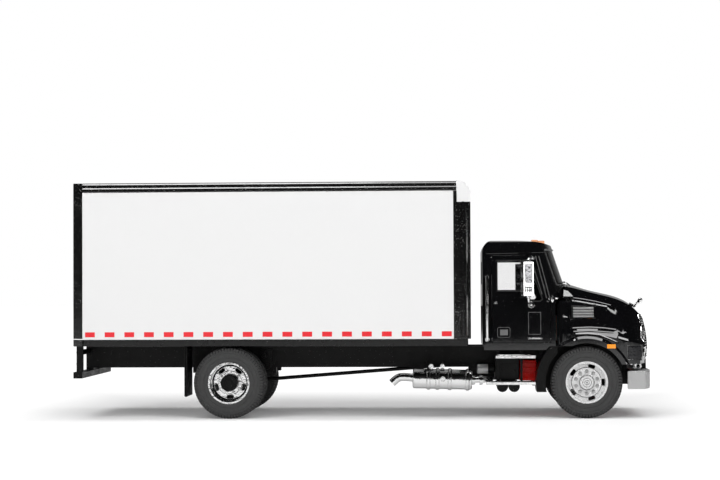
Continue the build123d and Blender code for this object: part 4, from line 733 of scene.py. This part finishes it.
for side in (-1, 1):
    turn = Matrix.Rotation(math.radians(side * mirror_turn), 3, "Z")
    for form, span in spans:
        made = block(form, *span)
        bmesh.ops.rotate(form, cent=(0, 0, 0), matrix=turn, verts=made)
        bmesh.ops.translate(form, vec=(mirror_x, side * mirror_y, mirror_z), verts=made)
    stalk = (mirror_x + 0.4, side * mirror_y)
    swept(cases, bend((on_cab(arm_x, arm_head, side, 0.1), (*stalk, 69.7), (*stalk, 60.0), (*stalk, 50.0),
                       (73.6, side * 31.6, arm_foot))), 0.5, sides=12)
    rod(cases, on_cab(arm_x, arm_head, side, -0.1), on_cab(arm_x, arm_head, side, 0.5), 1.1, 0.9, sides=20)
    ball(cases, (*stalk, 67.8), 0.95)
    ball(cases, (*stalk, 52.6), 0.85)
pins(cases, 73.6, arm_foot, cab_half, 31.9, 1.6, 1.4, sides=24)
shaped("mirror_cases", cases, chrome_plate, "chrome", "mirrors", ease=0.45, steps=3)
pane_silver = surface("pane_silver", (0.16, 0.16, 0.165), (0.04, 0.16), metal=1.0, skin=(2.2, 3.0), cloud=1.2)
shaped("mirror_panes", panes, pane_silver, "chrome", ease=0.08)
shaped("wide_angle_panes", wide_panes, moulded_black, "chrome", ease=0.08)
bar_x, bar_foot, bar_head = 54.4, 34.0, 61.0
bars = bmesh.new()
for side in (-1, 1):
    out_y = side * 32.6
    swept(bars, bend(((bar_x, side * 30.9, bar_foot), (bar_x, out_y, bar_foot), (bar_x, out_y, bar_head),
                      on_cab(bar_x, bar_head, side, -0.1)), count=4), 0.6, sides=12)
    for z in (bar_foot, bar_head):
        rod(bars, on_cab(bar_x, z, side, -0.1), on_cab(bar_x, z, side, 0.3), 1.0, sides=16)
shaped("grab_bars", bars, chrome_plate, "chrome", "grab_rails")

# ---------------------------------------------------------------- roof lamps
# Five low marker lamps along the roof's front edge: one-piece orange lenses on the black roof.
lens_orange = surface("lens_orange", (0.90, 0.42, 0.22), (0.06, 0.14), skin=(0.6, 0.2))
casting("roof_markers", lens_orange, ease=0.5, steps=3)

# ---------------------------------------------------------------- hood
# The tilting hood is one die-cast shell in the cab's gloss black. Raised beads follow its shoulder,
# its waist and the wheel arches, a sloping pad sits on each side by the windscreen, and a hook on
# each side latches it.
casting("hood", cab_gloss, body="hood", ease=0.5, fold=24.0, steps=3)
hood_form = bmesh.new()
hood_form.from_mesh(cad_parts["hood"].data)
hood_skin = BVHTree.FromBMesh(hood_form)
hood_form.free()


def on_hood(x, z, side, lift=0.0):
    """The point of the hood's side at x and height z, lifted off it by lift."""
    start = Vector((x, side * 60.0, z)) * MM
    struck = hood_skin.ray_cast(start, Vector((0, -side, 0)))[0] or hood_skin.find_nearest(start)[0]
    return struck / MM + Vector((0, side * lift, 0))


def hood_line(form, points, radius, lift=0.0, count=6, sides=4):
    """Adds a bead on both sides of the hood that follows it through points of (x, z)."""
    for side in (-1, 1):
        path = []
        for (x0, z0), (x1, z1) in zip(points, points[1:]):
            path += [on_hood(x0 + (x1 - x0) * t / count, z0 + (z1 - z0) * t / count, side, lift)
                     for t in range(count)]
        path.append(on_hood(*points[-1], side, lift))
        swept(form, path, radius, sides=sides, level=sides == 4)


hood_beads = bmesh.new()
hood_line(hood_beads, ((91.6, 51.9), (96.0, 51.3), (102.0, 50.2), (108.8, 48.5)), 0.26)
hood_line(hood_beads, ((91.1, 38.7), (98.8, 39.0), (105.3, 38.6), (110.4, 37.9)), 0.42)
hood_line(hood_beads, ((91.5, 37.2), (98.8, 37.5), (109.1, 36.7)), 0.4)
shaped("hood_beads", hood_beads, cab_gloss, "cab_black", body="hood")
cast_gloss = surface("cast_gloss", (0.003, 0.003, 0.0035), (0.04, 0.12), skin=(0.9, 0.9), flecks=(0.9, 0.2),
                     cloud=1.0, Specular_IOR_Level=0.8, Coat_Weight=0.8, Coat_Roughness=0.05)
pad_corners = ((87.6, 27.8, 52.6), (91.9, 27.2, 52.5), (89.8, 24.9, 54.9), (88.0, 24.6, 55.4))
folds = bmesh.new()
hood_line(folds, ((86.4, 51.2), (94.9, 50.0), (107.0, 47.8)), 0.5, count=8)
hood_line(folds, ((92.6, 36.2), (98.0, 36.3), (102.9, 35.8), (107.2, 34.1), (111.0, 32.4)), 0.5)
hood_line(folds, ((111.0, 34.4), (115.2, 33.2)), 0.8, count=3)
for side in (-1, 1):
    pad = folds.faces.new([folds.verts.new((x, side * y, z)) for x, y, z in pad_corners])
    pulled = bmesh.ops.extrude_face_region(folds, geom=[pad])["geom"]
    bmesh.ops.translate(folds, vec=(0, -side * 1.2, -1.2),
                        verts=[item for item in pulled if isinstance(item, bmesh.types.BMVert)])
bmesh.ops.recalc_face_normals(folds, faces=folds.faces)
shaped("hood_folds", folds, cast_gloss, "cab_black", body="hood")
latches = bmesh.new()
for side in (-1, 1):
    spot = on_hood(87.6, 44.0, side)
    rod(latches, spot - Vector((0, side * 0.2, 0)), spot + Vector((0, side * 0.6, 0)), 0.8, 0.55, sides=14)
    rod(latches, spot + Vector((0, side * 0.4, 0)), spot + Vector((1.6, side * 0.5, -0.3)), 0.35, sides=8)
shaped("hood_latches", latches, chrome_plate, "chrome", body="hood")

# ---------------------------------------------------------------- hood vents
# Each side vent is a dark recess in a raised surround, crossed by four satin slats.
casting("hood_vents", rubber, body="hood", ease=0.1)
vent_backs = bmesh.new()
slabs(vent_backs, 90.2, 102.0, 23.2, 0.3, 42.0, 49.0)
shaped("vent_backs", vent_backs, rubber, "black_plastic", body="hood")
vent_rear, vent_front, vent_foot, vent_head = 91.05, 101.05, 43.0, 48.3
vent_corners = ((vent_rear - 0.3, vent_foot - 0.3), (vent_rear - 0.3, vent_head + 0.3),
                (vent_front + 0.3, vent_head + 0.1), (vent_front + 0.3, vent_foot + 0.2))
vent_slats = bmesh.new()
surrounds = bmesh.new()
for side in (-1, 1):
    for slat in range(4):
        z = vent_foot + 0.75 + 1.22 * slat
        a, b = on_hood(vent_rear - 0.4, z, side, -0.15), on_hood(vent_front + 0.4, z, side, -0.15)
        swept(vent_slats, (a.lerp(b, 0.1), a.lerp(b, 0.93)), 0.5, sides=6)
    beaded(surrounds, [on_hood(x, z, side, 0.05) for x, z in vent_corners], 0.34, ends=True)
shaped("vent_slats", vent_slats, satin_metal, "bumper_silver", body="hood", fold=70.0)
shaped("vent_surrounds", surrounds, cab_gloss, "cab_black", body="hood")

# ---------------------------------------------------------------- grille
# A plated mesh of thin bars in a thicker rim. It follows the nose, which is round both in plan and
# in profile.
foot_x, plan_radius = 125.6, 102.0
nose_low, nose_high, nose_sag, nose_back = 27.0, 47.0, 1.07, 3.35
opening_half, opening_head = 14.4, 40.6


def nose_point(y, z, lift):
    """The point of the nose at y and height z, lifted off it by lift."""
    along = (z - nose_low) / (nose_high - nose_low)
    middle = foot_x - nose_back * along + 4 * nose_sag * along * (1 - along) + lift
    if z < nose_low:
        middle = foot_x - 0.3 * (nose_low - z) + lift
    axis = foot_x - plan_radius
    return Vector((axis + math.sqrt((middle - axis) ** 2 - y * y), y, z))


def on_nose(y, z, lift):
    """The point of the hood's front at y and height z, lifted off it by lift."""
    struck = hood_skin.ray_cast(Vector((200.0, y, z)) * MM, Vector((-1, 0, 0)))[0]
    if struck and (abs(y) > opening_half or z > opening_head):
        return struck / MM + Vector((lift, 0, 0))
    return nose_point(y, z, lift)


# half the mesh's width at each height: it narrows with the hood's shoulders
mesh_outline = ((26.2, 25.0), (31.0, 25.0), (33.0, 23.2), (35.0, 20.8), (37.0, 18.6), (39.0, 16.6),
                (41.0, 15.2), (44.2, 12.4))


def mesh_half(z):
    """Half the grille's width at height z."""
    for (z0, half0), (z1, half1) in zip(mesh_outline, mesh_outline[1:]):
        if z <= z1:
            return half0 + (half1 - half0) * (z - z0) / (z1 - z0)
    return mesh_outline[-1][1]


mesh_low, mesh_high, mesh_lift = mesh_outline[0][0], mesh_outline[-1][0], 0.03
mesh_rows, mesh_columns, frame_bar = 17, 20, 0.36
grille = bmesh.new()
for row in range(mesh_rows + 1):
    z = mesh_low + (mesh_high - mesh_low) * row / mesh_rows
    bar = frame_bar if row in (0, mesh_rows) else 0.2
    swept(grille, [on_nose(mesh_half(z) * t / 10, z, mesh_lift) for t in range(-10, 11)], bar, sides=6)
for column in range(-mesh_columns, mesh_columns + 1):
    share = column / mesh_columns
    bar = frame_bar if abs(share) == 1 else 0.16
    heights = [mesh_low + (mesh_high - mesh_low) * t / 12 for t in range(13)]
    swept(grille, [on_nose(share * mesh_half(z), z, mesh_lift) for z in heights], bar, sides=6)
shaped("grille_mesh", grille, chrome_plate, "chrome", "grille", body="hood")

# ---------------------------------------------------------------- headlights and side lamps
# Smoked lenses wrap round the hood's corners in thin grey bezels, each with a plated bowl and a
# bright strip. Amber marker lamps stand on the wheel arches.
smoked = surface("smoked_lens", (0.012, 0.012, 0.014), (0.03, 0.06), skin=(0.9, 0.5), cloud=2.0)
casting("headlights", smoked, body="hood", ease=0.3)
bowl_y, bowl_z, bowl_radius = 23.6, 28.2, 2.3
bowl_profile = ((0.0, bowl_radius + 0.3), (0.25, bowl_radius + 0.25), (0.25, bowl_radius - 0.1),
                (-0.2, bowl_radius * 0.55), (-0.3, 0.0))
bowls = bmesh.new()
for side in (-1, 1):
    turned(bowls, bowl_profile, nose_point(side * bowl_y, bowl_z, 0.12), (1.0, side * 0.24, 0.0), sides=32)
hood_line(bowls, ((116.0, 25.7), (120.6, 25.7)), 0.18, lift=0.1, sides=8)
shaped("headlight_bowls", bowls, chrome_plate, "chrome", body="hood")
lens_corners = ((114.9, 24.8), (114.9, 31.2), (121.2, 31.2), (121.2, 24.8))
bezels = bmesh.new()
for side in (-1, 1):
    beaded(bezels, [on_hood(x, z, side, 0.05) for x, z in lens_corners], 0.25, ends=True)
shaped("headlight_bezels", bezels, grey_highlight_and_shade, "cab_black", body="hood")
amber = surface("amber", (0.95, 0.33, 0.03), (0.06, 0.14), skin=(0.6, 0.2))
casting("side_markers", amber, body="hood", ease=0.2)

# ---------------------------------------------------------------- hood ornament
# A plain plated stem that leans forward from the hood's nose and ends in a small ball.
stem_foot, stem_end = Vector((119.05, 0.0, 46.4)), Vector((123.4, 0.0, 50.6))
stem_profile = ((0.0, 1.15), (0.8, 0.75), (2.0, 0.6), (2.4, 0.8), (2.8, 0.6), (4.4, 0.5), (5.0, 0.75),
                (5.4, 0.95), (6.0, 1.02), (6.6, 0.85), (7.0, 0.4), (7.1, 0.0))
ornament = bmesh.new()
turned(ornament, stem_profile, stem_foot, (stem_end - stem_foot).normalized(), sides=20)
rod(ornament, (118.2, 0.0, 48.4), (120.6, 0.0, 47.4), 1.3, 1.0, sides=18)
shaped("nose_stem", ornament, chrome_plate, "chrome", "hood_ornament", body="hood")

# ---------------------------------------------------------------- tyres
# Black rubber tyres with four rows of tread blocks, sloped shoulders and plain ringed sidewalls.
# They are single at the front and in pairs at the rear.
tyre_rubber = surface("tyre_rubber", (0.046, 0.046, 0.046), (0.55, 0.75), skin=(0.22, 0.5), cloud=1.5,
                      Specular_IOR_Level=0.35)
tyre_width, tyre_radius = 8.2, 15.5
half_profile = (
    (0.75, 8.9), (0.25, 9.3), (0.02, 9.9), (0.02, 10.7), (0.16, 10.85), (0.16, 11.05), (0.02, 11.2),
    (0.02, 12.6), (0.18, 12.75), (0.18, 12.95), (0.06, 13.1), (0.12, 13.6), (0.75, 14.05), (1.5, 14.5),
    (2.2, 14.9))
tyre_profile = list(half_profile) + [(tyre_width - along, radius) for along, radius in reversed(half_profile)]
# each row of blocks: from and to across the tyre, its drop below the radius, its shift in blocks
tread_rows = ((0.22, 2.35, 0.08, 0.0), (2.75, 3.95, 0.0, 0.5), (4.25, 5.45, 0.0, 0.0),
              (5.85, 7.98, 0.08, 0.5))
tread_blocks, block_half, block_foot = 70, 0.44, 13.7
shoulder_out, shoulder_radius, shoulder_in = 3.6, 14.95, 0.35
pattern = bmesh.new()
turned(pattern, tyre_profile, (0, 0, 0), (0, 1, 0), sides=72)
for start, end, drop, shift in tread_rows:
    for number in range(tread_blocks):
        made = block(pattern, -block_half, block_half, start, end, block_foot, tyre_radius - drop)
        for vert in made:
            inward = tyre_width / 2 - vert.co.y
            if abs(inward) > shoulder_out and vert.co.z > shoulder_radius:
                vert.co.z = shoulder_radius
                vert.co.y += math.copysign(shoulder_in, inward)
        turn = Matrix.Rotation(math.tau * (number + shift) / tread_blocks, 3, "Y")
        bmesh.ops.rotate(pattern, cent=(0, 0, 0), matrix=turn, verts=made)
tyre_mesh = bpy.data.meshes.new("tyre_pattern")
pattern.to_mesh(tyre_mesh)
pattern.free()


def tyre_at(form, x, wall_y):
    """Adds a tyre at x whose outer wall is at wall_y."""
    part = bmesh.new()
    part.from_mesh(tyre_mesh)
    joined(form, part, Matrix.Rotation(math.pi if wall_y > 0 else 0.0, 3, "Z"), Vector((x, wall_y, axle_z)))


front_wall, rear_wall, dual_gap = 35.25, 36.0, 1.5
for side, hand in ((-1, "right"), (1, "left")):
    front = bmesh.new()
    tyre_at(front, front_axle_x, side * front_wall)
    shaped("tread_front_" + hand, front, tyre_rubber, "tyre", "tyre_front_" + hand,
           body="wheel_front_" + hand, fold=26.0)
    pair = bmesh.new()
    tyre_at(pair, rear_axle_x, side * rear_wall)
    tyre_at(pair, rear_axle_x, side * (rear_wall - tyre_width - dual_gap))
    shaped("tread_rear_" + hand, pair, tyre_rubber, "tyre", "tyre_rear_" + hand,
           body="wheel_rear_" + hand, fold=26.0)

# ---------------------------------------------------------------- rims, nuts and hubs
# Cast rims with five oblong hand holes, sprayed bright silver at the front and plated at the rear.
# Ten wheel nuts stand round each hub; the front hubs carry a stepped cap and the rear ones a black
# oil cap with its bolts. Grey rings on the front rims are painted shade in their grooves, and a
# black ring in each rear dish is painted shadow of the deep dish.
rim_bright = surface("rim_bright", (0.82, 0.82, 0.82), (0.22, 0.38), metal=0.42, skin=(0.8, 0.22), cloud=2.0)
rim_plated = surface("rim_plated", (0.88, 0.88, 0.88), (0.05, 0.16), metal=1.0, skin=(1.4, 2.4), cloud=1.2)
stepped_cap = ((0.0, 2.3), (0.12, 2.15), (0.12, 1.75), (0.28, 1.6), (0.28, 0.9), (0.05, 0.8), (0.05, 0.45),
               (0.3, 0.35), (0.3, 0.0))
rim_lip = ((0.0, 8.2), (0.18, 8.35), (0.18, 8.75), (0.0, 8.9))
oil_cap = ((0.0, 3.7), (3.7, 3.66), (4.2, 3.3), (4.2, 2.75), (4.08, 2.65), (4.08, 1.55), (4.35, 1.4),
           (4.35, 0.0))
# a black ring inside the rear dish: painted shadow of the deep dish
dish_shadow_ring = ((-0.4, 7.9), (0.1, 7.9), (0.1, 7.15), (-0.4, 7.15))


def on_axle(form, profile, x, out, side, sides):
    """Adds a turned piece on an axle, outwards from out."""
    turned(form, profile, (x, side * out, axle_z), (0, side, 0), sides=sides)


def nut_ring(form, x, out, side, circle, count, shift, bars):
    """Adds a ring of nuts round an axle: each bar is a length, a radius, an end radius and sides."""
    for number in range(count):
        angle = math.tau * (number + shift) / count
        foot = Vector((x + circle * math.cos(angle), side * out, axle_z + circle * math.sin(angle)))
        for length, radius, end_radius, sides in bars:
            rod(form, foot, foot + Vector((0, side * length, 0)), radius, end_radius, sides=sides)


front_nut = ((0.9, 0.56, 0.5, 6), (0.25, 0.8, None, 14))
rear_nut = ((1.3, 0.6, 0.5, 6), (0.3, 0.8, None, 14))
cap_bolt = ((0.3, 0.28, None, 6),)


for side, hand in ((-1, "right"), (1, "left")):
    body = "wheel_front_" + hand
    casting("rim_front_" + hand, rim_bright, body=body, ease=0.18)
    nuts = bmesh.new()
    nut_ring(nuts, front_axle_x, front_wall - 1.7, side, 4.8, 10, 0.5, front_nut)
    on_axle(nuts, stepped_cap, front_axle_x, front_wall + 0.3, side, 36)
    on_axle(nuts, rim_lip, front_axle_x, front_wall - 0.5, side, 64)
    shaped("front_nuts_" + hand, nuts, satin_metal, "rim_silver", body=body, ease=0.05)
    # Thin grey rings stand proud on the front rim where its grooves are: painted shade for the grooves.
    groove_shades = bmesh.new()
    for groove, proud in ((6.45, -2.3), (3.15, -0.35), (1.9, 0.55), (0.95, 0.55)):
        bead = ((-0.12, groove - 0.13), (0.1, groove - 0.1), (0.1, groove + 0.1), (-0.12, groove + 0.13))
        on_axle(groove_shades, bead, front_axle_x, front_wall + proud, side, 48)
    shaped("rim_groove_shades_" + hand, groove_shades, grey_highlight_and_shade, "rim_silver", body=body)
    body = "wheel_rear_" + hand
    casting("rim_rear_" + hand, rim_plated, body=body, ease=0.18)
    nuts = bmesh.new()
    nut_ring(nuts, rear_axle_x, rear_wall - 5.4, side, 4.55, 10, 0.0, rear_nut)
    shaped("rear_nuts_" + hand, nuts, rim_plated, "rim_silver", body=body, ease=0.05)
    hub = bmesh.new()
    on_axle(hub, oil_cap, rear_axle_x, rear_wall - 5.3, side, 40)
    nut_ring(hub, rear_axle_x, rear_wall - 1.15, side, 3.0, 8, 0.0, cap_bolt)
    # the black ring in the dish is painted shadow
    on_axle(hub, dish_shadow_ring, rear_axle_x, rear_wall - 5.9, side, 56)
    shaped("rear_hub_" + hand, hub, moulded_black, "chassis_black", body=body, ease=0.05)

# ---------------------------------------------------------------- table, light and camera
# The model stands on a white sweep table, which runs on in front of it to an edge and then to the
# dark of the room. Black gloss paint shows that dark, and the lamps as streaks.
table_front, table_back, table_half_width = -1.15, 4.5, 4.0
table_size = (table_half_width, (table_back - table_front) / 2, 1.0)
table_form = bmesh.new()
bmesh.ops.create_grid(table_form, x_segments=1, y_segments=1, size=1.0)
bmesh.ops.scale(table_form, vec=table_size, verts=table_form.verts)
bmesh.ops.translate(table_form, vec=(0.0, (table_back + table_front) / 2, 0.0), verts=table_form.verts)
table_mesh = bpy.data.meshes.new("table_top")
table_form.to_mesh(table_mesh)
table_form.free()
table = bpy.data.objects.new("table_top", table_mesh)
bpy.context.scene.collection.objects.link(table)

# the paper is lit like the model, and its far part fades into the white behind it
table_white = bpy.data.materials.new("table_white")
table_white.use_nodes = True
tree = table_white.node_tree
tree.nodes.clear()
out = added(tree, "OutputMaterial")
paper = added(tree, "BsdfDiffuse", {"Color": (0.80, 0.80, 0.80, 1.0)})
far = added(tree, "Emission", {"Color": (1.0, 1.0, 1.0, 1.0)})
place = added(tree, "TexCoord")
apart = added(tree, "SeparateXYZ")
fade = added(tree, "MapRange", {"From Min": 0.09, "From Max": 0.24}, interpolation_type="SMOOTHSTEP")
aside = added(tree, "Math", operation="ABSOLUTE")
side_fade = added(tree, "MapRange", {"From Min": 0.115, "From Max": 0.19}, interpolation_type="SMOOTHSTEP")
whiter = added(tree, "Math", operation="MAXIMUM")
path = added(tree, "LightPath")
seen = added(tree, "Math", operation="MULTIPLY")
both = added(tree, "MixShader")
lifted = added(tree, "Math", {1: 0.12}, operation="MULTIPLY")
lift = added(tree, "Emission", {"Color": (1.0, 1.0, 1.0, 1.0)})
total = added(tree, "AddShader")
wired(tree, (place.outputs["Object"], apart.inputs[0]), (apart.outputs["Y"], fade.inputs["Value"]),
      (apart.outputs["X"], aside.inputs[0]), (aside.outputs[0], side_fade.inputs["Value"]),
      (fade.outputs[0], whiter.inputs[0]), (side_fade.outputs[0], whiter.inputs[1]),
      (path.outputs["Is Camera Ray"], seen.inputs[0]), (whiter.outputs[0], seen.inputs[1]),
      (seen.outputs[0], both.inputs[0]), (paper.outputs[0], both.inputs[1]), (far.outputs[0], both.inputs[2]),
      (path.outputs["Is Camera Ray"], lifted.inputs[0]), (lifted.outputs[0], lift.inputs["Strength"]),
      (both.outputs[0], total.inputs[0]), (lift.outputs[0], total.inputs[1]),
      (total.outputs[0], out.inputs["Surface"]))
table_mesh.materials.append(table_white)

# the camera sees white all round; reflections see a pale room behind the table and a dark one elsewhere
world = bpy.data.worlds.new("white_sweep")
bpy.context.scene.world = world
world.use_nodes = True
tree = world.node_tree
tree.nodes.clear()
out = added(tree, "OutputWorld")
sky = added(tree, "Background")
white = added(tree, "Background", {"Color": (1.0, 1.0, 1.0, 1.0), "Strength": 1.0})
path = added(tree, "LightPath")
place = added(tree, "TexCoord")
apart = added(tree, "SeparateXYZ")
room = added(tree, "MapRange", {"From Min": 0.84, "From Max": 0.97, "To Min": 0.02, "To Max": 0.35},
             interpolation_type="SMOOTHSTEP")
height = added(tree, "MapRange", {"From Min": 0.35, "From Max": 0.75, "To Min": 1.0, "To Max": 0.12},
               interpolation_type="SMOOTHSTEP")
strength = added(tree, "Math", operation="MULTIPLY")
choose = added(tree, "MixShader")
wired(tree, (place.outputs["Generated"], apart.inputs[0]), (apart.outputs["Y"], room.inputs["Value"]),
      (apart.outputs["Z"], height.inputs["Value"]), (room.outputs[0], strength.inputs[0]),
      (height.outputs[0], strength.inputs[1]), (strength.outputs[0], sky.inputs["Strength"]),
      (path.outputs["Is Camera Ray"], choose.inputs[0]), (sky.outputs[0], choose.inputs[1]),
      (white.outputs[0], choose.inputs[2]), (choose.outputs[0], out.inputs["Surface"]))

# Lamps: name, place, size, watts, seen in reflections, aimed at the model's middle. The strips that
# aren't aimed look straight down, with their length along the model.
lamps = (
    ("fill_front", (0.0, -0.62, 1.0), (1.5, 0.6), 8.0, False, True),
    ("fill_left", (-0.50, -1.0, 0.60), (0.6, 0.6), 4.2, False, True),
    ("fill_right", (0.50, -1.0, 0.60), (0.6, 0.6), 4.2, False, True),
    ("fill_back", (0.0, 1.2, 0.80), (1.4, 0.7), 3.4, False, True),
    ("strip_rear", (-0.27, -0.003, 0.80), (0.50, 0.09), 1.5, True, False),
    ("strip_over", (0.22, 0.01, 0.80), (0.48, 0.18), 1.3, True, False),
    ("strip_crest", (0.56, 0.10, 0.80), (0.18, 0.10), 0.28, True, False),
    ("strip_front", (1.10, 0.11, 0.06), (0.42, 0.055), 0.4, True, True),
)
model_middle = Vector((0.0, 0.0, 0.05))
for name, place, size, watts, shown, aimed in lamps:
    lamp = bpy.data.lights.new(name, "AREA")
    lamp.shape = "RECTANGLE"
    lamp.size, lamp.size_y = size
    lamp.energy = watts
    holder = bpy.data.objects.new(name, lamp)
    holder.location = place
    if aimed:
        holder.rotation_euler = (model_middle - Vector(place)).to_track_quat("-Z", "Y").to_euler()
    holder.visible_glossy = shown
    bpy.context.scene.collection.objects.link(holder)

camera_data = bpy.data.cameras.new("camera")
camera_data.sensor_width = 36.0
camera_data.lens = 96.69
camera_data.clip_start = 0.01
camera_data.clip_end = 100.0
camera = bpy.data.objects.new("camera", camera_data)
yaw, pitch, roll = math.radians(-2.871), math.radians(1.346), math.radians(-0.246)
ahead = Vector((math.sin(yaw) * math.cos(pitch), math.cos(yaw) * math.cos(pitch), math.sin(pitch)))
level = Vector((math.cos(yaw), -math.sin(yaw), 0.0))
upright = level.cross(ahead)
right = math.cos(roll) * level + math.sin(roll) * upright
up = math.cos(roll) * upright - math.sin(roll) * level
turn = Matrix((right, up, -ahead)).transposed().to_4x4()
camera.matrix_world = Matrix.Translation((0.04154, -0.87212, 0.05768)) @ turn
bpy.context.scene.collection.objects.link(camera)
bpy.context.scene.camera = camera
bpy.context.scene.view_settings.view_transform = "Standard"
